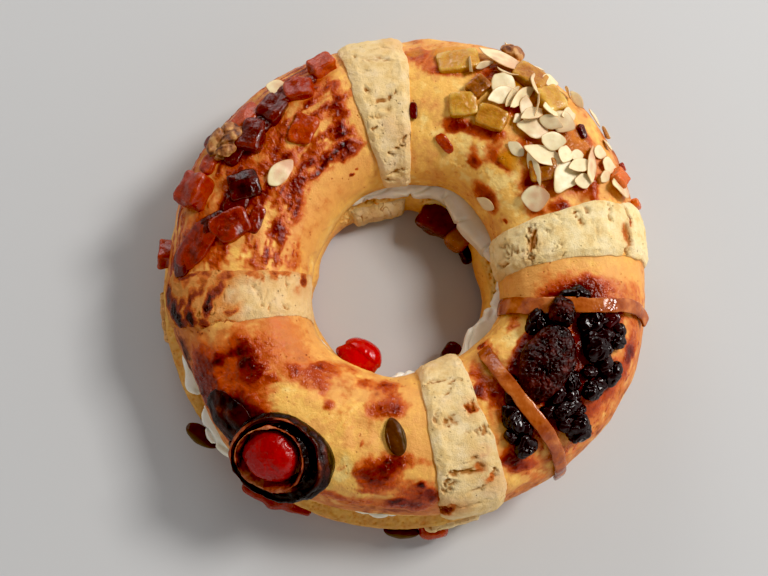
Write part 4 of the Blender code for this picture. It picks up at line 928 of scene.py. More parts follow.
# The ends of the strips that stayed on the base when the ring was sliced: middle turn,
# width in degrees, wall side, top and bottom of the wall.
PASTE_EDGES = {
    "hole": (102.5, 35.0, -1, 0.04, 0.90), "back": (100.0, 12.0, 1, 0.05, 0.75),
    "right": (8.5, 12.5, 1, 0.05, 0.80), "front": (283.0, 13.5, 1, 0.05, 0.85),
    "left": (186.5, 12.5, 1, 0.05, 0.70),
}
side, rise = flat_section(64)
run = np.linspace(0.0, 1.0, 90)[:, None]
ends = np.minimum(np.minimum(run, 1.0 - run) / 0.05, 1.0) ** 0.5
for seed, (label, (centre, width, wall, top, bottom)) in enumerate(PASTE_EDGES.items()):
    turn = centre + width * (run - 0.5) * (1.0 if wall > 0 else -1.0)
    low = top + 0.06 * noise(np.stack([9 * run, 0 * run, 0 * run + seed], -1), 1.0, 50, 2)
    high = bottom + 0.10 * noise(np.stack([7 * run, 0 * run + 4, 0 * run + seed], -1), 1.0, 51, 3)
    down = np.clip(low + (high - low) * side, 0.03, 0.97)
    skin = base_wall(turn, down, wall)
    lump = 0.6 * MM * noise(skin, 7 * MM, 52, 2) + 0.35 * MM * noise(skin, 2.5 * MM, 53, 2)
    lift = np.where(rise > 0.0, rise * (0.85 * PASTE_THICKNESS + lump) * ends, PASTE_BITE * rise)
    crack = 0.8 * ease(np.abs(noise(skin, 7 * MM, 54 + seed, 2)), 0.06, 0.0)
    lift -= 0.8 * MM * crack * (rise > 0.3)
    bake = 0.2 + 0.2 * noise(skin, 12 * MM, 55, 2) + {"left": 0.5}.get(label, 0.0)
    edge = surface(f"sugar_paste_end_{label}", base_wall(turn, down, wall, lift),
                   paste, wrap=(False, True), caps=True,
                   masks={"crack": crack, "scorch": 0.0 * crack, "bake": np.clip(bake, 0, 1)})
    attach(edge, "root")
    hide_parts(f"paste_edge_{label}")

# The candied quince and other candied fruit.
# Cubes boiled in syrup until clear, then baked on: the quince is red to mahogany, the other
# fruit amber and olive. The cut edges are rounded, glassy and lighter where they are thin.

# Each cube: turn, across, heading, length, width, height, sink, tone (0 dark to 1 bright).
QUINCE_CUBES = [
    (160.5, 0.28, 62, 17.0, 15.0, 11.0, 2.8, 0.56), (175.0, 0.04, 105, 13.0, 11.0, 9.0, 3.0, 0.62),
    (112.7, 0.29, 35, 13.0, 10.0, 8.0, 2.4, 0.68), (121.5, 0.36, 10, 14.0, 11.0, 7.0, 2.8, 0.56),
    (130.5, 0.37, 55, 14.0, 12.0, 7.0, 3.4, 0.26), (140.0, 0.39, 75, 16.0, 12.0, 8.0, 3.4, 0.28),
    (127.5, 0.50, 70, 15.0, 12.0, 4.6, 2.3, 0.66), (154.5, 0.475, 15, 15.0, 14.0, 7.0, 3.2, 0.10),
    (168.0, 0.475, 25, 18.0, 14.0, 6.0, 3.0, 0.44),
]
FRUIT_CUBES = [
    (76.5, 0.36, 8, 21.0, 12.0, 5.0, 2.5, 0.56), (71.0, 0.52, 0, 14.0, 12.0, 6.4, 2.6, 0.60),
    (60.5, 0.53, -20, 15.0, 11.0, 6.4, 2.4, 0.44), (68.5, 0.46, 40, 11.0, 9.0, 6.0, 1.8, 0.16),
    (57.5, 0.31, 150, 17.0, 12.0, 7.0, 2.4, 0.40), (49.5, 0.34, 120, 15.0, 12.0, 7.0, 2.8, 0.62),
    (35.0, 0.53, 15, 13.0, 11.0, 5.4, 2.3, 0.20), (23.0, 0.25, 150, 9.0, 8.0, 7.0, 1.5, 0.94),
]


def candied_material(name, stops, glow, clear, shine):
    """Clear candied fruit: a ramp by tone, lighter at thin edges, under a syrup coat."""
    look, tree, shader = new_material(name)
    place = add(tree, "ShaderNodeTexCoord").outputs["Object"]
    cloud = add(tree, "ShaderNodeTexNoise", {"Vector": place, "Scale": 230.0, "Detail": 4.0,
                                             "Roughness": 0.6})
    drift = sum_of(tree, sum_of(tree, cloud.outputs["Fac"], 0.5, "SUBTRACT"), 0.55, "MULTIPLY")
    tone = sum_of(tree, mask_of(tree, "tone"), drift, clamp=True)
    tone = sum_of(tree, tone, sum_of(tree, mask_of(tree, "thin"), glow, "MULTIPLY"), clamp=True)
    tree.links.new(ramp(tree, tone, stops), shader.inputs["Base Color"])
    fine = add(tree, "ShaderNodeTexNoise", {"Vector": place, "Scale": 950.0, "Detail": 3.0})
    tree.links.new(between(tree, fine.outputs["Fac"], 0.35, 0.7, 0.08, 0.28),
                   shader.inputs["Roughness"])
    shader.inputs["Specular IOR Level"].default_value = shine
    shader.inputs["Coat Weight"].default_value = 0.10
    shader.inputs["Coat Roughness"].default_value = 0.08
    shader.inputs["Subsurface Weight"].default_value = 0.25
    shader.inputs["Subsurface Radius"].default_value = (0.006, 0.0018, 0.0006)
    height = sum_of(tree, cloud.outputs["Fac"],
                    sum_of(tree, fine.outputs["Fac"], 0.35, "MULTIPLY"))
    bump = add(tree, "ShaderNodeBump", {"Height": height, "Distance": 0.0010,
                                        "Strength": 0.6})
    tree.links.new(bump.outputs["Normal"], shader.inputs["Normal"])
    shader.inputs["Transmission Weight"].default_value = clear
    return look


quince = candied_material("candied_quince", [
    (0.0, (34, 9, 5)), (0.3, (100, 20, 6)), (0.55, (162, 44, 12)), (0.8, (200, 76, 24)),
    (1.0, (232, 116, 44))], 0.12, 0.22, 0.30)
amber = candied_material("candied_amber_fruit", [
    (0.0, (92, 40, 12)), (0.3, (164, 92, 26)), (0.55, (200, 138, 46)), (0.8, (222, 172, 74)),
    (1.0, (240, 204, 116))], 0.30, 0.10, 0.50)


def ball(size, rows=30, columns=56, squareness=2.0):
    """A ball stretched to a size, as (points, directions): each way out from the middle is
    divided by its p-norm, which is 2 for a round ball and 6 or more for a rounded box.
    """
    tilt = np.linspace(0.0, math.pi, rows)[:, None]
    tilt = np.clip(tilt, 0.5 * tilt[1, 0], math.pi - 0.5 * tilt[1, 0])
    spin = np.linspace(0.0, 2.0 * math.pi, columns, endpoint=False)[None, :]
    ways = np.stack([np.sin(tilt) * np.cos(spin), np.sin(tilt) * np.sin(spin),
                     np.cos(tilt) + 0.0 * spin], axis=-1)
    norm = np.sum(np.abs(ways) ** squareness, axis=-1, keepdims=True) ** (1.0 / squareness)
    return 0.5 * np.asarray(size) * MM * ways / norm, ways


def set_down(local, turn, across, heading, lift):
    """Local points put on the lid: x towards the heading, y to its left, z out of it."""
    forward, side, out = heading_axes(turn, across, heading)
    axes = np.stack([forward, side, out])
    return lid_skin(turn, across) + out * lift * MM + local @ axes


def add_piece(name, points, look, nodes, masks=None):
    """A closed blob on the ring that stands for its CAD nodes."""
    piece = surface(name, points, look, wrap=(False, True), caps=True, masks=masks)
    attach(piece, "root")
    for node in nodes:
        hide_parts(node)
    return piece


def cube_shape(size, seed, squareness=5.0, uneven=2.1):
    """A cut cube: a rounded box with uneven faces, and how thin it is near its edges."""
    local, ways = ball(size, 40, 76, squareness)
    spot = local + seed * 0.1
    local = local + ways * uneven * MM * noise(spot, 8 * MM, 60, 1)[..., None]
    local = local + ways * 0.24 * MM * noise(spot, 2.6 * MM, 61, 2)[..., None]
    thin = ease(np.linalg.norm(local / (0.5 * np.asarray(size) * MM), axis=-1), 1.15, 1.6)
    return local, thin


families = (("quince_cube", quince, QUINCE_CUBES, "quince"),
            ("fruit_cube", amber, FRUIT_CUBES, "candied_fruit"))
for family, look, rows, slot in families:
    for number, row in enumerate(rows, start=1):
        turn, across, heading, length, width, height, sink, tone = row
        local, thin = cube_shape((length, width, height), number + len(family), 6.5,
                                 1.7 if look is quince else 0.7)
        points = set_down(local, turn, across, heading, 0.5 * height - sink)
        if family == "fruit_cube" and number == 8:
            look = quince
        node = f"{family}_{number:02d}"
        add_piece(f"candied_{node}", points, look, [node],
                  {"tone": np.full(thin.shape, tone), "thin": thin})

# Pieces of quince boiled down flat that stick to the crust between the cubes, and shreds of
# red fruit dried on. Each row is given as a cube's is, and all are joined in one piece.
SHREDS = [
    (174.5, 0.345, 52, 27.0, 14.0, 3.6, 1.5, 0.46), (179.5, 0.26, 95, 13.0, 9.0, 3.4, 1.4, 0.26),
    (168.5, 0.415, 30, 15.0, 11.0, 3.4, 1.2, 0.16), (161.0, 0.47, 60, 12.0, 11.0, 3.6, 1.2, 0.22),
    (137.0, 0.29, 50, 17.0, 12.0, 5.0, 1.8, 0.74), (126.5, 0.34, 40, 12.0, 10.0, 4.4, 1.6, 0.34),
    (135.5, 0.385, 50, 10.0, 9.0, 4.0, 1.5, 0.18), (147.0, 0.375, 60, 14.0, 9.0, 4.0, 1.4, 0.22),
    (164.0, 0.54, 70, 14.0, 7.0, 2.6, 1.0, 0.40), (152.0, 0.28, 60, 12.0, 9.0, 4.0, 1.5, 0.66),
    (88.0, 0.555, 85, 8.0, 4.0, 2.2, 0.5, 0.30), (73.5, 0.69, 120, 11.0, 5.0, 2.2, 0.6, 0.66),
    (17.0, 0.09, 20, 9.0, 5.0, 4.0, 0.6, 0.95), (12.0, 0.343, 0, 3.0, 2.0, 1.4, 0.3, 0.30),
    (64.5, 0.13, 60, 10.0, 6.0, 5.0, 0.8, 0.30), (38.0, 0.32, 110, 8.0, 3.5, 2.4, 0.5, 0.22),
    (26.5, 0.10, 10, 6.0, 3.0, 2.4, 0.4, 0.60),
    (146.5, 0.22, 60, 9.0, 8.0, 5.0, 1.4, 0.40), (117.5, 0.34, 20, 6.0, 5.0, 3.0, 0.9, 0.34),
]


def gathered(name, blobs, look, masks):
    """Several closed grids of points joined as one piece."""
    parts = [surface(name, points, look, (False, True), True, mask)
             for points, mask in zip(blobs, masks)]
    with bpy.context.temp_override(active_object=parts[0], selected_editable_objects=parts):
        bpy.ops.object.join()
    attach(parts[0], "root")
    return parts[0]


blobs, masks = [], []
for number, row in enumerate(SHREDS):
    turn, across, heading, length, width, height, sink, tone = row
    local, thin = cube_shape((length, width, height), 20 + number, 3.4, 0.22 * min(height, 5.0))
    blobs.append(set_down(local, turn, across, heading, 0.5 * height - sink))
    masks.append({"tone": np.full(thin.shape, tone), "thin": thin})
gathered("melted_fruit", blobs, quince, masks)

# The fruit on the walls: chunks in the hole and outside, and a dark wedge that oozed out low
# on the outside and dried to a point.
WALL_FRUIT = [
    ("hole_fruit_01", quince, (20.2, 37.4, 13.0), 150, (19.0, 14.0, 16.0), 0.24, "quince"),
    ("hole_fruit_02", amber, (31.5, 28.3, 12.0), 135, (12.0, 12.0, 13.0), 0.26, "quince"),
    ("hole_fruit_03", quince, (35.5, 22.0, 8.5), 120, (9.0, 8.0, 8.0), 0.0, "quince"),
    ("hole_fruit_04", quince, (26.5, -30.0, 11.0), 45, (10.0, 8.0, 8.0), 0.14, "quince"),
    ("candied_side_front", quince, (17.0, -117.5, 10.0), 8, (14.5, 9.0, 9.0), 0.66,
     "candied_fruit"),
    ("candied_side_left", quince, (-58.5, -102.5, 14.0), -27, (36.0, 12.0, 10.0), 0.54,
     "quince"),
]


def turned(heading):
    """A turn about the vertical by degrees: x and y are mixed by its cosine and sine."""
    aim = math.radians(heading)
    return np.array([[math.cos(aim), math.sin(aim), 0.0],
                     [-math.sin(aim), math.cos(aim), 0.0], [0.0, 0.0, 1.0]])


for seed, (node, look, offset, heading, size, tone, slot) in enumerate(WALL_FRUIT):
    local, thin = cube_shape(size, 30 + seed, 3.5, 1.6)
    if node == "candied_side_left":
        taper = 1.0 - 0.62 * ease(local[..., :1] / (18.0 * MM), -0.2, 1.0)
        local = local * np.concatenate([np.ones_like(taper), taper, taper], axis=-1)
        local[..., 2] += 2.5 * MM * ease(local[..., 0], 0.0, -18.0 * MM)
    points = BASE_CENTRE + np.array(offset) * MM + local @ turned(heading)
    add_piece(f"wall_{node}", points, look, [node],
              {"tone": np.full(thin.shape, tone), "thin": thin})

# The dried fruit.
# Raisins plumped and blackened in the oven, a flattened dried fig with its stem end up
# against the peel, both wrinkled and sticky, with small sharp glints.

RAISINS = [
    (348.0, 0.51, 0, 15.0, 9.0, 7.0, 1.5), (334.0, 0.64, 60, 12.0, 10.0, 7.0, 1.5),
    (341.0, 0.46, 10, 13.0, 10.0, 7.0, 1.5), (343.5, 0.39, 0, 9.0, 8.5, 7.0, 1.5),
    (334.5, 0.41, 30, 15.0, 11.0, 8.0, 1.5), (339.0, 0.34, 50, 10.0, 8.5, 7.0, 1.5),
    (330.5, 0.31, 60, 12.0, 9.5, 7.0, 1.5), (324.5, 0.34, 40, 11.0, 9.0, 7.0, 1.5),
    (322.5, 0.43, 70, 11.0, 9.0, 7.0, 1.5), (315.5, 0.38, 20, 14.0, 10.0, 7.0, 1.5),
    (315.0, 0.28, 45, 14.0, 13.0, 9.0, 2.0), (302.5, 0.47, 130, 14.0, 10.0, 7.0, 1.5),
    (301.8, 0.36, 80, 11.0, 10.0, 8.0, 1.5),
]
# Smaller raisins that fill the gaps between them, in one piece.
SMALL_RAISINS = [
    (311.5, 0.54, 20, 9.0, 7.0, 5.5, 1.0), (318.5, 0.37, 60, 8.0, 7.0, 5.0, 1.0),
    (328.0, 0.40, 0, 7.0, 6.0, 5.0, 1.0), (320.0, 0.40, 0, 8.0, 7.0, 6.0, 1.0),
    (306.0, 0.52, 120, 9.0, 7.0, 5.0, 1.0), (337.0, 0.60, 0, 8.0, 7.0, 5.0, 1.0),
    (318.0, 0.33, 30, 8.0, 7.0, 5.0, 1.0), (312.0, 0.42, 50, 8.0, 7.0, 5.0, 1.0),
    (336.5, 0.37, 0, 8.0, 7.0, 6.0, 1.0), (327.0, 0.325, 50, 8.0, 7.0, 5.0, 1.0),
    (299.5, 0.42, 100, 7.0, 6.0, 5.0, 1.0), (304.0, 0.42, 130, 8.0, 7.0, 6.0, 1.0),
    (338.5, 0.40, 20, 10.0, 9.0, 7.0, 1.0), (342.5, 0.43, 0, 8.0, 7.0, 6.0, 1.0),
    (336.0, 0.45, 70, 9.0, 8.0, 6.0, 1.0), (332.0, 0.36, 60, 9.0, 8.0, 6.0, 1.0),
    (317.0, 0.44, 60, 10.0, 8.0, 6.0, 1.0), (313.5, 0.33, 30, 10.0, 8.0, 7.0, 1.0),
    (319.0, 0.45, 60, 8.0, 7.0, 5.0, 1.0), (341.5, 0.35, 20, 9.0, 8.0, 6.0, 1.0),
    (309.0, 0.56, 60, 8.0, 7.0, 5.0, 1.0), (346.0, 0.55, 0, 8.0, 6.0, 5.0, 1.0),
]

black_skin, tree, shader = new_material("raisin_skin")
place = add(tree, "ShaderNodeTexCoord").outputs["Object"]
cloud = add(tree, "ShaderNodeTexNoise", {"Vector": place, "Scale": 300.0, "Detail": 3.0})
dark = mixed(tree, cloud.outputs["Fac"], tint(6, 4, 7), tint(24, 14, 16))
tree.links.new(mixed(tree, mask_of(tree, "wine"), dark, tint(70, 18, 22)),
               shader.inputs["Base Color"])
shader.inputs["Specular IOR Level"].default_value = 0.28
tree.links.new(between(tree, cloud.outputs["Fac"], 0.35, 0.65, 0.10, 0.26),
               shader.inputs["Roughness"])
crinkle = add(tree, "ShaderNodeTexNoise", {"Vector": place, "Scale": 300.0, "Detail": 1.0})
bump = add(tree, "ShaderNodeBump", {"Height": crinkle.outputs["Fac"], "Distance": 0.0012,
                                    "Strength": 0.6})
tree.links.new(bump.outputs["Normal"], shader.inputs["Normal"])


def wrinkled(size, seed, depth=1.0, rows=44, columns=72):
    """A shrivelled berry: folds are the creases where smooth noise crosses zero."""
    local, ways = ball([1.06 * span for span in size], rows, columns, 1.75)
    spot = local + 0.2 * seed
    swelled = 1.6 * noise(spot, 5.6 * MM, 70, 1)
    folds = ease(np.abs(noise(spot, 4.6 * MM, 71, 1)), 0.0, 0.18) - 0.8
    fine = 0.12 * noise(spot, 2.0 * MM, 72, 1)
    return local + ways * depth * MM * (swelled + 0.75 * folds + fine)[..., None]


for number, row in enumerate(RAISINS, start=1):
    turn, across, heading, length, width, height, sink = row
    points = set_down(wrinkled((length, width, height), number), turn, across, heading,
                      0.5 * height - sink + 0.4)
    wine = 0.75 if number == 4 else 0.08
    add_piece(f"raisin_skin_{number:02d}", points, black_skin, [f"raisin_{number:02d}"],
              {"wine": np.full(points.shape[:2], wine)})


blobs, masks = [], []
for number, row in enumerate(SMALL_RAISINS):
    turn, across, heading, length, width, height, sink = row
    blobs.append(set_down(wrinkled((length, width, height), 40 + number, 0.8, 26, 42), turn,
                          across, heading, 0.5 * height - sink))
    masks.append({"wine": np.full(blobs[-1].shape[:2], 0.15)})
gathered("small_raisins", blobs, black_skin, masks)

fig_skin, tree, shader = new_material("fig_skin")
place = add(tree, "ShaderNodeTexCoord").outputs["Object"]
cloud = add(tree, "ShaderNodeTexNoise", {"Vector": place, "Scale": 160.0, "Detail": 5.0,
                                         "Roughness": 0.65})
tree.links.new(ramp(tree, between(tree, cloud.outputs["Fac"], 0.32, 0.7),
                    [(0.0, (20, 5, 6)), (0.5, (46, 12, 12)), (1.0, (84, 28, 22))]),
               shader.inputs["Base Color"])
shader.inputs["Specular IOR Level"].default_value = 0.25
tree.links.new(between(tree, cloud.outputs["Fac"], 0.3, 0.7, 0.22, 0.42),
               shader.inputs["Roughness"])
pearl = add(tree, "ShaderNodeTexVoronoi", {"Vector": place, "Scale": 620.0,
                                           "Randomness": 1.0}, feature="SMOOTH_F1")
height = sum_of(tree, cloud.outputs["Fac"], pearl.outputs["Distance"], "SUBTRACT")
bump = add(tree, "ShaderNodeBump", {"Height": height, "Distance": 0.0012, "Strength": 0.9})
tree.links.new(bump.outputs["Normal"], shader.inputs["Normal"])


def drape(local, turn, across, heading):
    """Local points wrapped over the lid: x and y run over the skin, z stands off it.

    Inward distance is walked along the section, and along distance turns round the ring.
    """
    aim = math.radians(heading - turn - 90.0)
    x, y = local[..., 0], local[..., 1]
    along = x * math.cos(aim) - y * math.sin(aim)
    inward = x * math.sin(aim) + y * math.cos(aim)
    radius = np.linalg.norm((lid_skin(turn, across) - LID_CENTRE)[:2])
    samples = np.linspace(-0.2, 1.0, 241)
    walked = np.cumsum(np.linalg.norm(np.diff(lid_skin(turn, samples), axis=0), axis=1))
    walked = np.concatenate([[0.0], walked])
    spot = np.interp(np.interp(across, samples, walked) + inward, walked, samples)
    return lid_skin(turn + np.degrees(along / radius), spot, local[..., 2])


local, ways = ball((39.0, 22.0, 13.0), 96, 130, 2.2)
along = local[..., 0] / (20.0 * MM)
local[..., 1] *= 1.0 - 0.22 * np.maximum(along, 0.0) ** 2
local[..., 2] += 0.25 * 13.0 * MM
knobs = 1.2 * noise(local, 10 * MM, 74, 1)
rough = ease(local[..., 1], 6.0 * MM, 2.0 * MM)
creases = -0.9 * rough * ease(np.abs(noise(local * [0.6, 1, 1], 4.0 * MM, 76, 2)), 0.16, 0.0)
beads = 0.35 * rough * noise(local, 1.4 * MM, 77, 2)
local = local + ways * MM * (knobs + creases + beads)[..., None]
add_piece("fig_body", drape(local, 323.2, 0.52, 66), fig_skin, ["dried_fig"])
local = wrinkled((14.0, 12.0, 9.0), 90, 1.1)
add_piece("fig_stem_end", set_down(local, 340.5, 0.555, 95, 5.8), fig_skin, ["fig_stem"])

# The candied peel.
# Two strips cut from candied orange rind, laid over the raisins and baked to amber. They are
# flat ribbons, smooth on the zest side, darker along the cut edges and down the sides.

PEEL_THICKNESS = 2.2 * MM
# Stations of each strip of peel: (turn, across, lift, width).
PEELS = {
    "upper": [
        (339.5, 1.0, 0.5, 8.4), (338.8, 0.85, 1.0, 8.4), (340.0, 0.68, 2.0, 8.2),
        (343.3, 0.55, 4.5, 7.6), (346.3, 0.45, 6.0, 7.0), (348.2, 0.35, 4.5, 6.8),
        (348.9, 0.27, 2.5, 6.6), (348.5, 0.20, 1.5, 6.6), (346.8, 0.14, 2.0, 6.6)],
    "lower": [
        (311.5, 0.80, 0.5, 7.0), (309.3, 0.69, 1.5, 7.0), (308.4, 0.60, 3.0, 7.0),
        (308.0, 0.50, 4.5, 7.0), (308.0, 0.40, 4.5, 7.0), (307.9, 0.29, 2.5, 7.0),
        (307.0, 0.18, 1.5, 6.6), (306.6, 0.08, 1.5, 6.2), (306.4, -0.02, 2.0, 6.0)],
}

peel_look, tree, shader = new_material("candied_peel")
place = add(tree, "ShaderNodeTexCoord").outputs["Object"]
cloud = add(tree, "ShaderNodeTexNoise", {"Vector": place, "Scale": 130.0, "Detail": 4.0})
zest = ramp(tree, between(tree, cloud.outputs["Fac"], 0.3, 0.72),
            [(0.0, (138, 58, 20)), (0.5, (168, 84, 34)), (1.0, (194, 112, 54))])
tree.links.new(mixed(tree, mask_of(tree, "thin"), zest, tint(122, 46, 12)),
               shader.inputs["Base Color"])
tree.links.new(between(tree, cloud.outputs["Fac"], 0.3, 0.7, 0.10, 0.26),
               shader.inputs["Roughness"])
shader.inputs["Specular IOR Level"].default_value = 0.35
shader.inputs["Coat Weight"].default_value = 0.12
shader.inputs["Coat Roughness"].default_value = 0.15
pores = add(tree, "ShaderNodeTexVoronoi", {"Vector": place, "Scale": 700.0})
height = sum_of(tree, cloud.outputs["Fac"],
                sum_of(tree, pores.outputs["Distance"], 0.4, "MULTIPLY"))
bump = add(tree, "ShaderNodeBump", {"Height": height, "Distance": 0.0006, "Strength": 0.6})
tree.links.new(bump.outputs["Normal"], shader.inputs["Normal"])

for label, stations in PEELS.items():
    part = np.linspace(0.0, 1.0, 150)
    marks = np.linspace(0.0, 1.0, len(stations))
    bell = np.exp(-((part[:, None] - part[None, :]) / 0.035) ** 2)
    bell /= bell.sum(axis=1, keepdims=True)
    turn, across, lift, width = (bell @ np.interp(part, marks, column)
                                 for column in np.array(stations).T)
    middle = lid_skin(turn, across, lift * MM)
    forward = np.gradient(middle, axis=0)
    forward /= np.linalg.norm(forward, axis=1, keepdims=True)
    out = lid_basis(turn, across)[2]
    side_way = np.cross(out, forward)
    side_way /= np.linalg.norm(side_way, axis=1, keepdims=True)
    sweep = np.linspace(0.0, 2.0 * math.pi, 40, endpoint=False)[None, :]
    x = 0.5 * width[:, None] * MM * power(np.cos(sweep), 0.5)
    z = 0.5 * PEEL_THICKNESS * power(np.sin(sweep), 0.5)
    taper = np.minimum(np.minimum(part, 1.0 - part) / 0.012, 1.0)[:, None] ** 0.5
    ribbon = middle[:, None] + side_way[:, None] * (x * taper)[..., None]
    ribbon = ribbon + out[:, None] * (z * taper + 0.0 * x)[..., None]
    ribbon = ribbon + out[:, None] * 0.35 * MM * noise(ribbon, 8 * MM, 80, 2)[..., None]
    ribbon = ribbon + side_way[:, None] * 0.4 * MM * noise(ribbon, 6 * MM, 81, 2)[..., None]
    thin = ease(np.abs(np.cos(sweep)), 0.86, 1.0) * 0.75 + 0.0 * x
    thin = np.maximum(thin, 0.7 * (np.sin(sweep) < -0.2))
    add_piece(f"orange_peel_{label}", ribbon, peel_look, [f"peel_strip_{label}"],
              {"thin": thin})

# The burnt cup and the cherries.
# A half of candied fruit baked on the slope until its skin charred: black glassy ridges round
# a thin brown lip, with a candied cherry in it. A second cherry hangs over the hole's rim.

CUP_SPOT = (237.6, 0.305)
CUP_SIZE = (47.0, 40.0)
CUP_MOUTH = (28.5, 25.0)
CUP_CHERRY = (25.0, 22.0)
CUP_MOUTH_SHIFT = -4.4
CUP_HEIGHT = 10.0
CHERRY_HEIGHT = 13.0
# Section of the cup: (part of the way from mouth to edge, part of the height).
CUP_SECTION = [(1.0, -0.2), (1.0, 0.30), (0.93, 0.66), (0.80, 0.92), (0.62, 0.98),
               (0.45, 0.84), (0.30, 0.74), (0.18, 0.84), (0.09, 1.0), (0.03, 0.85),
               (0.0, 0.4), (0.0, -0.2), (0.5, -0.2)]

charred, tree, shader = new_material("charred_fruit_skin")
place = add(tree, "ShaderNodeTexCoord").outputs["Object"]
cloud = add(tree, "ShaderNodeTexNoise", {"Vector": place, "Scale": 170.0, "Detail": 4.0,
                                         "Roughness": 0.6})
heat = sum_of(tree, mask_of(tree, "singe"),
              sum_of(tree, sum_of(tree, cloud.outputs["Fac"], 0.5, "SUBTRACT"), 0.8, "MULTIPLY"),
              clamp=True)
skin = ramp(tree, heat, [(0.0, (6, 3, 4)), (0.30, (26, 8, 8)), (0.52, (60, 18, 12)),
                         (0.75, (158, 72, 42)), (1.0, (206, 138, 94))])
tree.links.new(skin, shader.inputs["Base Color"])
shader.inputs["Specular IOR Level"].default_value = 0.22
tree.links.new(between(tree, cloud.outputs["Fac"], 0.3, 0.7, 0.20, 0.46),
               shader.inputs["Roughness"])
bump = add(tree, "ShaderNodeBump", {"Height": cloud.outputs["Fac"], "Distance": 0.0012,
                                    "Strength": 0.7})
tree.links.new(bump.outputs["Normal"], shader.inputs["Normal"])

turn = np.linspace(0.0, 2.0 * math.pi, 240, endpoint=False)[:, None]
marks = np.linspace(0.0, 1.0, len(CUP_SECTION) + 1)
closed = np.array(CUP_SECTION + CUP_SECTION[:1])
step = np.linspace(0.0, 1.0, 120, endpoint=False)
bell = np.exp(-((step[:, None] - marks[None, :]) / 0.045) ** 2)
bell /= bell.sum(axis=1, keepdims=True)
part, rise = (bell @ closed).T
part, rise = part[None, :], rise[None, :]
mouth = np.stack([0.5 * CUP_MOUTH[0] * np.cos(turn) + CUP_MOUTH_SHIFT,
                  0.5 * CUP_MOUTH[1] * np.sin(turn)], axis=-1)
ripple = 1.0 + 0.05 * np.sin(3.0 * turn + 0.6)[..., None]
edge = np.stack([0.5 * CUP_SIZE[0] * np.cos(turn), 0.5 * CUP_SIZE[1] * np.sin(turn)],
                axis=-1) * ripple
flat = mouth * (1.0 - part[..., None]) + edge * part[..., None]
local = np.concatenate([flat, (CUP_HEIGHT * rise + 0.0 * turn)[..., None]], axis=-1) * MM
upper = ease(rise, 0.1, 0.6)
spin = np.stack([np.cos(turn) * 2.2, np.sin(turn) * 2.2, 0.0 * turn], axis=-1)
rings = np.sin(2.0 * math.pi * (3.4 * part + 0.22 * noise(spin + 0.0 * local, 1.0, 90, 2)))
local = local + outward(local) * MM * (upper * (
    0.40 * rings * ease(part, 0.3, 0.5) + 0.8 * noise(local, 7 * MM, 91, 2)
    + 0.22 * noise(local, 1.8 * MM, 92, 2)))[..., None]
# Charred black right round, it is painted red-brown on the inner flank, which faces the window
# lamp,
# with its ridges striped: painted light. It stays red-brown on the far flanks, glows orange where
# syrup fills the moat on the near side, and has a thin pale lip round the mouth.
facing = turn + math.radians(CUP_SPOT[0] + 90.0)
# Painted light: the outer flank that faces the window lamp is painted lighter, ridges striped.
lit_flank = ease(np.cos(facing - math.radians(25.0)), 0.30, 0.70)
heat = 0.11 + lit_flank * ease(part, 0.48, 0.58) * ease(part, 0.97, 0.88) * (0.31 + 0.14 * rings)
upper_left = ease(np.cos(facing - math.radians(125.0)), 0.30, 0.80)
heat = heat + 0.32 * upper_left * ease(np.abs(part - 0.58), 0.26, 0.10)
far = ease(np.cos(facing - math.radians(180.0)), 0.30, 0.80)
heat = heat + 0.36 * far * ease(np.abs(part - 0.66), 0.16, 0.05)
glow = ease(np.cos(facing - math.radians(245.0)), 0.35, 0.85)
heat = np.maximum(heat, 0.84 * glow * ease(part, 0.44, 0.28))
lip = ease(np.abs(part - 0.10), 0.07, 0.03) * ease(rise, 0.4, 0.7)
pale = ease(np.cos(facing - math.radians(120.0)), 0.0, 0.8)
heat = np.maximum(heat, lip * (0.62 + 0.26 * pale))
inside = ease(part, 0.10, 0.03)
heat = np.maximum(heat, inside * (0.34 + 0.30 * pale + 0.44 * glow))
cup = surface("charred_cup", drape(local, *CUP_SPOT, CUP_SPOT[0] + 90.0), charred,
              masks={"singe": np.clip(heat, 0, 1)})
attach(cup, "root")
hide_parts("candied_cup")

# A flap and a shred of the same skin came away beside it, with a burnt drop of syrup.
blobs, masks = [], []
for number, row in enumerate([(220.5, 0.25, 150, 30.0, 20.0, 2.4, 0.40),
                              (236.0, 0.445, 160, 9.0, 5.0, 3.0, 0.10),
                              (229.0, 0.155, 140, 18.0, 8.0, 3.0, 0.40)]):
    turn, across, heading, length, width, height, tone = row
    local, ways = ball((length, width, height), 40, 70, 2.4)
    local[..., 2] *= 1.0 + 0.5 * noise(local, 6 * MM, 97, 1)
    local = local + ways * 0.8 * MM * noise(local, 5 * MM, 98 + number, 2)[..., None]
    local = local + np.array([0.0, 0.0, 0.2 * height * MM])
    blobs.append(drape(local, turn, across, heading))
    masks.append({"singe": np.full(local.shape[:2], tone)
                  + 0.2 * noise(local, 5 * MM, 99, 1)})
gathered("charred_flap", blobs, charred, masks)

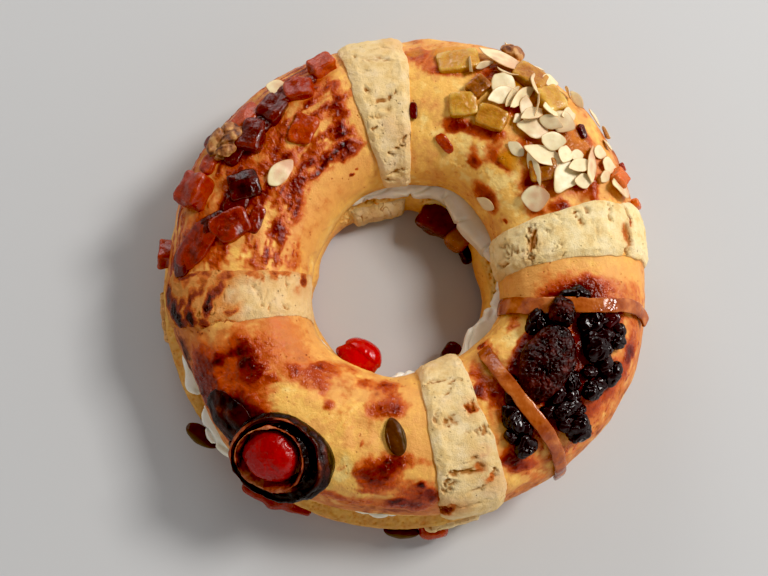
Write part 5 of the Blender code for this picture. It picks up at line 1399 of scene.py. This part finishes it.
cherry_look, tree, shader = new_material("candied_cherry")
place = add(tree, "ShaderNodeTexCoord").outputs["Object"]
cloud = add(tree, "ShaderNodeTexNoise", {"Vector": place, "Scale": 120.0, "Detail": 3.0})
fresh = mixed(tree, cloud.outputs["Fac"], tint(160, 6, 6), tint(212, 20, 14))
baked = mixed(tree, cloud.outputs["Fac"], tint(108, 5, 6), tint(186, 14, 12))
tree.links.new(mixed(tree, mask_of(tree, "baked"), fresh, baked), shader.inputs["Base Color"])
tree.links.new(between(tree, mask_of(tree, "baked"), 0.0, 0.8, 0.14, 0.34),
               shader.inputs["Roughness"])
shader.inputs["Specular IOR Level"].default_value = 0.28
shader.inputs["Coat Weight"].default_value = 0.10
shader.inputs["Coat Roughness"].default_value = 0.05
shader.inputs["Subsurface Weight"].default_value = 0.12
shader.inputs["Subsurface Radius"].default_value = (0.004, 0.0006, 0.0004)
ripples = add(tree, "ShaderNodeTexNoise", {"Vector": place, "Scale": 420.0, "Detail": 2.0})
bump = add(tree, "ShaderNodeBump", {"Height": ripples.outputs["Fac"], "Distance": 0.0014,
                                    "Strength": 0.45})
tree.links.new(bump.outputs["Normal"], shader.inputs["Normal"])

local, ways = ball((*CUP_CHERRY, CHERRY_HEIGHT), 70, 110, 2.1)
local = local + ways * MM * (0.7 * noise(local, 10 * MM, 93, 1)
                             + 0.30 * noise(local, 3.0 * MM, 94, 2))[..., None]
local = local + np.array([CUP_MOUTH_SHIFT, 0.0, 0.35 * CHERRY_HEIGHT]) * MM
add_piece("cup_cherry", drape(local, *CUP_SPOT, CUP_SPOT[0] + 90.0), cherry_look,
          ["cherry_in_cup"], {"baked": np.full(local.shape[:2], 0.72)})

HOLE_CHERRY = ((-18.5, -35.4, 26.0), -20, (20.0, 18.0, 17.0))
offset, heading, size = HOLE_CHERRY
local, ways = ball(size, 70, 110, 2.1)
local = local + ways * MM * (0.7 * noise(local, 9 * MM, 95, 1)
                             + 0.15 * noise(local, 3 * MM, 96, 1))[..., None]
lap = ease(local[..., 1] + 0.3 * local[..., 0], 1.0 * MM, 2.2 * MM)
local = local + ways * 0.9 * MM * lap[..., None]
local[..., 0] -= 3.0 * MM * ease(-local[..., 0], 4.0 * MM, 11.0 * MM) * ease(
    np.abs(local[..., 1]), 5.0 * MM, 0.0)
add_piece("rim_cherry", BASE_CENTRE + np.array(offset) * MM + local @ turned(heading),
          cherry_look, ["cherry_at_hole"], {"baked": np.full(local.shape[:2], 0.06)})

# The nuts and seeds.
# Walnut pieces with lobed, papery skin, flat pumpkin seeds, and almond flakes: thin curled
# slices, cream inside with a brown skin round the edge, some stained by the syrup.

WALNUTS = [
    (145.5, 0.31, 50, 19.0, 15.0, 8.0, 1.5), (64.5, 0.17, 170, 11.0, 8.0, 6.0, 1.0),
]

walnut_look, tree, shader = new_material("walnut_skin")
place = add(tree, "ShaderNodeTexCoord").outputs["Object"]
cloud = add(tree, "ShaderNodeTexNoise", {"Vector": place, "Scale": 260.0, "Detail": 4.0})
tree.links.new(ramp(tree, between(tree, cloud.outputs["Fac"], 0.3, 0.7),
                    [(0.0, (88, 40, 16)), (0.5, (158, 96, 48)), (1.0, (206, 152, 92))]),
               shader.inputs["Base Color"])
shader.inputs["Roughness"].default_value = 0.5
bump = add(tree, "ShaderNodeBump", {"Height": cloud.outputs["Fac"], "Distance": 0.0010,
                                    "Strength": 0.8})
tree.links.new(bump.outputs["Normal"], shader.inputs["Normal"])

for number, row in enumerate(WALNUTS, start=1):
    turn, across, heading, length, width, height, sink = row
    local, ways = ball((length, width, height), 70, 110, 2.3)
    furrow = np.exp(-(local[..., 1] / (0.12 * width * MM)) ** 2) * (local[..., 2] > 0.0)
    lobes = ease(np.abs(noise(local, 9.0 * MM, 100 + number, 1)), 0.0, 0.26) - 0.5
    lobes = lobes + 0.20 * noise(local, 2.6 * MM, 107, 2)
    local[..., 2] -= 0.25 * height * MM * furrow
    local = local + ways * 1.9 * MM * lobes[..., None]
    add_piece(f"walnut_half_{number:02d}",
              set_down(local, turn, across, heading, 0.5 * height - sink), walnut_look,
              [f"walnut_{number:02d}"])

seed_look, tree, shader = new_material("pumpkin_seed_skin")
place = add(tree, "ShaderNodeTexCoord").outputs["Object"]
cloud = add(tree, "ShaderNodeTexNoise", {"Vector": place, "Scale": 300.0, "Detail": 3.0})
hull = mixed(tree, cloud.outputs["Fac"], tint(40, 19, 8), tint(102, 54, 20))
tree.links.new(mixed(tree, mask_of(tree, "edge"), hull, tint(112, 98, 62)),
               shader.inputs["Base Color"])
shader.inputs["Specular IOR Level"].default_value = 0.16
shader.inputs["Roughness"].default_value = 0.36
bump = add(tree, "ShaderNodeBump", {"Height": cloud.outputs["Fac"], "Distance": 0.0006,
                                    "Strength": 0.5})
tree.links.new(bump.outputs["Normal"], shader.inputs["Normal"])

local, ways = ball((18.0, 9.5, 3.6), 50, 90, 2.2)
local[..., 1] *= 1.0 - 0.35 * np.maximum(local[..., 0] / (9.0 * MM), 0.0) ** 1.5
ridge = ease(np.abs(local[..., 1]) / (4.6 * MM), 0.66, 0.86) * ease(local[..., 2], 0.0, 0.5 * MM)
local[..., 2] += 0.5 * MM * ridge + 0.25 * MM * noise(local, 4 * MM, 104, 2)
rim = ease(local[..., 1] * -1.0, 1.6 * MM, 3.6 * MM)
add_piece("seed_on_crown", set_down(local, 265.5, 0.505, 100, 0.9), seed_look,
          ["pumpkin_seed_top"], {"edge": 0.3 * rim})


def leaned(lean, nod):
    """A roll about x and then a nod about y, both in degrees."""
    roll, dip = math.radians(lean), math.radians(nod)
    about_x = np.array([[1.0, 0.0, 0.0], [0.0, math.cos(roll), math.sin(roll)],
                        [0.0, -math.sin(roll), math.cos(roll)]])
    about_y = np.array([[math.cos(dip), 0.0, -math.sin(dip)], [0.0, 1.0, 0.0],
                        [math.sin(dip), 0.0, math.cos(dip)]])
    return about_x @ about_y


for label, offset, tilts in (("side", (-95.6, -73.3, 22.0), (-28, 8, -37)),
                             ("front", (2.0, -118.4, 10.5), (-38, 0, -6))):
    lean, nod, heading = tilts
    stood = local @ leaned(lean, nod) @ turned(heading)
    points = BASE_CENTRE + np.array(offset) * MM + stood
    add_piece(f"seed_on_{label}", points, seed_look, [f"pumpkin_seed_{label}"],
              {"edge": 0.4 * rim})

# Almond flakes: turn, across, heading, length, width, lift, nod, roll and blush. Sliced thin,
# they curl, break straight across and lie over one another; a few stand on edge.
FLAKES = [
    (73.0, 0.383, 90, 9.3, 4.6, 2.6, 4, 62, 0.1), (69.5, 0.368, 30, 8.8, 3.6, 3.4, 8, 50, 0.4),
    (66.0, 0.30, -27, 19.0, 9.4, 3.4, 2, -6, 0.8), (62.0, 0.423, -40, 11.3, 9.3, 3.0, 10, 8, 0.1),
    (61.0, 0.463, 20, 12.4, 6.6, 3.4, 6, 14, 0.2), (56.0, 0.433, 50, 15.5, 5.4, 3.0, 10, 26, 0.2),
    (53.0, 0.458, 90, 10.3, 6.6, 2.4, -6, 10, 0.4), (47.5, 0.483, -10, 12.8, 8.8, 1.8, 4, -6, 0.5),
    (51.0, 0.418, 80, 13.4, 4.6, 3.6, 4, 56, 0.3), (53.0, 0.274, 0, 7.6, 5.6, 3.4, 6, 10, 0.1),
    (47.5, 0.398, 0, 8.2, 7.6, 4.4, 20, -16, 0.0), (43.0, 0.388, -35, 10.8, 8.6, 2.2, -8, 12, 0.5),
    (48.0, 0.229, 90, 7.7, 4.6, 2.6, 4, 30, 0.2), (45.5, 0.199, -60, 8.8, 3.6, 2.0, 2, 56, 0.3),
    (40.0, 0.114, -40, 8.3, 5.6, 1.2, 4, 6, 0.2), (35.5, 0.134, 90, 7.6, 4.6, 1.2, 4, 20, 0.2),
    (40.5, 0.468, 0, 10.2, 7.0, 3.6, 4, 10, 0.0),
    (38.5, 0.507, -15, 16.5, 8.3, 3.0, 6, -12, 0.1), (35.0, 0.458, 80, 7.7, 6.2, 3.2, 8, 10, 0.0),
    (37.5, 0.555, -68, 14.8, 4.6, 3.0, -4, 24, 0.0), (28.5, 0.483, 60, 14.4, 11.4, 2.2, 6, 8, 0.0),
    (25.5, 0.433, 10, 8.8, 5.8, 1.6, 10, 6, 0.2), (28.5, 0.378, 85, 17.0, 6.0, 2.4, 4, 24, 0.9),
    (31.0, 0.303, 0, 6.2, 5.6, 1.4, 4, 8, 0.3), (27.0, 0.289, 0, 7.6, 7.0, 1.6, 6, 6, 0.2),
    (21.0, 0.254, 10, 13.4, 10.6, 2.4, 10, -8, 0.8), (27.5, 0.602, 10, 10.8, 9.6, 1.8, -4, 6, 0.9),
    (47.0, 0.562, -35, 7.7, 5.0, 1.4, 6, 10, 0.1), (40.5, 0.841, -30, 8.2, 5.8, 1.2, 6, 6, 0.2),
    (66.0, 0.129, 30, 7.0, 3.4, 3.8, 6, 20, 0.1), (63.5, 0.119, 20, 7.0, 3.4, 2.6, 10, 30, 0.2),
    (53.5, 0.493, 50, 5.1, 3.4, 1.4, 6, 12, 0.4), (144.5, 0.545, 48, 13.0, 8.4, 1.4, 2, 6, 1.0),
    (126.0, 0.29, 0, 8.0, 7.0, 2.4, 16, 14, 0.8), (57.5, 0.235, 140, 7.0, 5.0, 3.0, 8, 12, 0.2),
    (32.0, 0.205, 120, 6.0, 4.6, 1.2, 6, 10, 0.3), (33.0, 0.415, 20, 6.4, 5.0, 1.4, 10, 6, 0.1),
    (58.5, 0.447, 60, 11.0, 4.4, 2.2, 6, 34, 0.2), (50.5, 0.455, 30, 10.5, 6.0, 4.0, 8, -14, 0.5),
    (45.0, 0.43, -20, 9.5, 5.4, 3.6, -6, 20, 0.4), (30.0, 0.43, 30, 10.0, 6.0, 3.4, 8, -10, 0.1),
    (24.5, 0.33, 40, 7.5, 4.4, 1.8, 6, 16, 0.5), (55.0, 0.36, 95, 12.0, 5.0, 4.2, 4, 30, 0.5),
    (43.5, 0.335, 30, 8.0, 5.6, 2.4, 8, 12, 0.4), (63.0, 0.37, 150, 9.0, 4.0, 3.4, 6, 30, 0.3),
]
FLAKE_THICKNESS = 0.8
# Half sizes reach a little past half the given length and width, because snapped ends cut in.
FLAKE_HALF_LENGTH, FLAKE_HALF_WIDTH = 0.64, 0.66
FLAKE_TILT = 1.5

flake_look, tree, shader = new_material("almond_flake")
place = add(tree, "ShaderNodeTexCoord").outputs["Object"]
cloud = add(tree, "ShaderNodeTexNoise", {"Vector": place, "Scale": 380.0, "Detail": 3.0})
flesh = mixed(tree, cloud.outputs["Fac"], tint(226, 204, 152), tint(244, 230, 190))
flesh = mixed(tree, mask_of(tree, "blush"), flesh, tint(214, 162, 124))
tree.links.new(mixed(tree, mask_of(tree, "edge"), flesh, tint(196, 142, 78)),
               shader.inputs["Base Color"])
shader.inputs["Roughness"].default_value = 0.40
shader.inputs["Subsurface Weight"].default_value = 0.15
shader.inputs["Subsurface Radius"].default_value = (0.002, 0.0014, 0.0008)
bump = add(tree, "ShaderNodeBump", {"Height": cloud.outputs["Fac"], "Distance": 0.0004,
                                    "Strength": 0.4})
tree.links.new(bump.outputs["Normal"], shader.inputs["Normal"])

blobs, masks = [], []
tilt = np.linspace(0.0, math.pi, 20)[:, None]
tilt = np.clip(tilt, 0.4 * tilt[1, 0], math.pi - 0.4 * tilt[1, 0])
spin = np.linspace(0.0, 2.0 * math.pi, 44, endpoint=False)[None, :]
for number, row in enumerate(FLAKES):
    turn, across, heading, length, width, lift, nod, roll, blush = row
    # Its outline is an oval, narrowed at both tips and snapped off where a chord is nearer.
    chance = np.random.default_rng(300 + number).uniform(size=6)
    outline = 1.0 + 0.05 * np.sin(3.0 * spin + 6.0 * chance[0])
    slim = 1.0 - 0.42 * np.cos(spin) ** 2
    for facing, reach in ((6.28 * chance[1], 0.56 + 0.5 * chance[2]),
                          (6.28 * chance[3], 0.86 + 0.3 * chance[4])):
        outline = np.minimum(outline, reach / np.maximum(np.cos(spin - facing), 0.01))
    out_to = np.sin(tilt) ** 0.55
    local = np.stack([FLAKE_HALF_LENGTH * length * out_to * outline * np.cos(spin),
                      FLAKE_HALF_WIDTH * width * out_to * outline * slim * np.sin(spin),
                      0.5 * FLAKE_THICKNESS * power(np.cos(tilt), 0.6) + 0.0 * spin], axis=-1)
    bend = 0.14 * length * (chance[5] - 0.3)
    local[..., 2] += bend * (local[..., 0] / (0.5 * length)) ** 2
    local[..., 2] += 0.5 * noise(local, 7.0, 105, 1)
    stood = local @ leaned(FLAKE_TILT * roll, FLAKE_TILT * nod) * MM
    blobs.append(set_down(stood, turn, across, heading, lift))
    rosy = blush * ease(0.6 * noise(local, 6.0, 106, 2) + local[..., 0] / length, -0.5, 0.4)
    masks.append({"edge": 0.75 * ease(out_to + 0.0 * spin, 0.90, 1.0),
                  "blush": np.clip(rosy, 0, 1)})
gathered("almond_flakes", blobs, flake_look, masks)
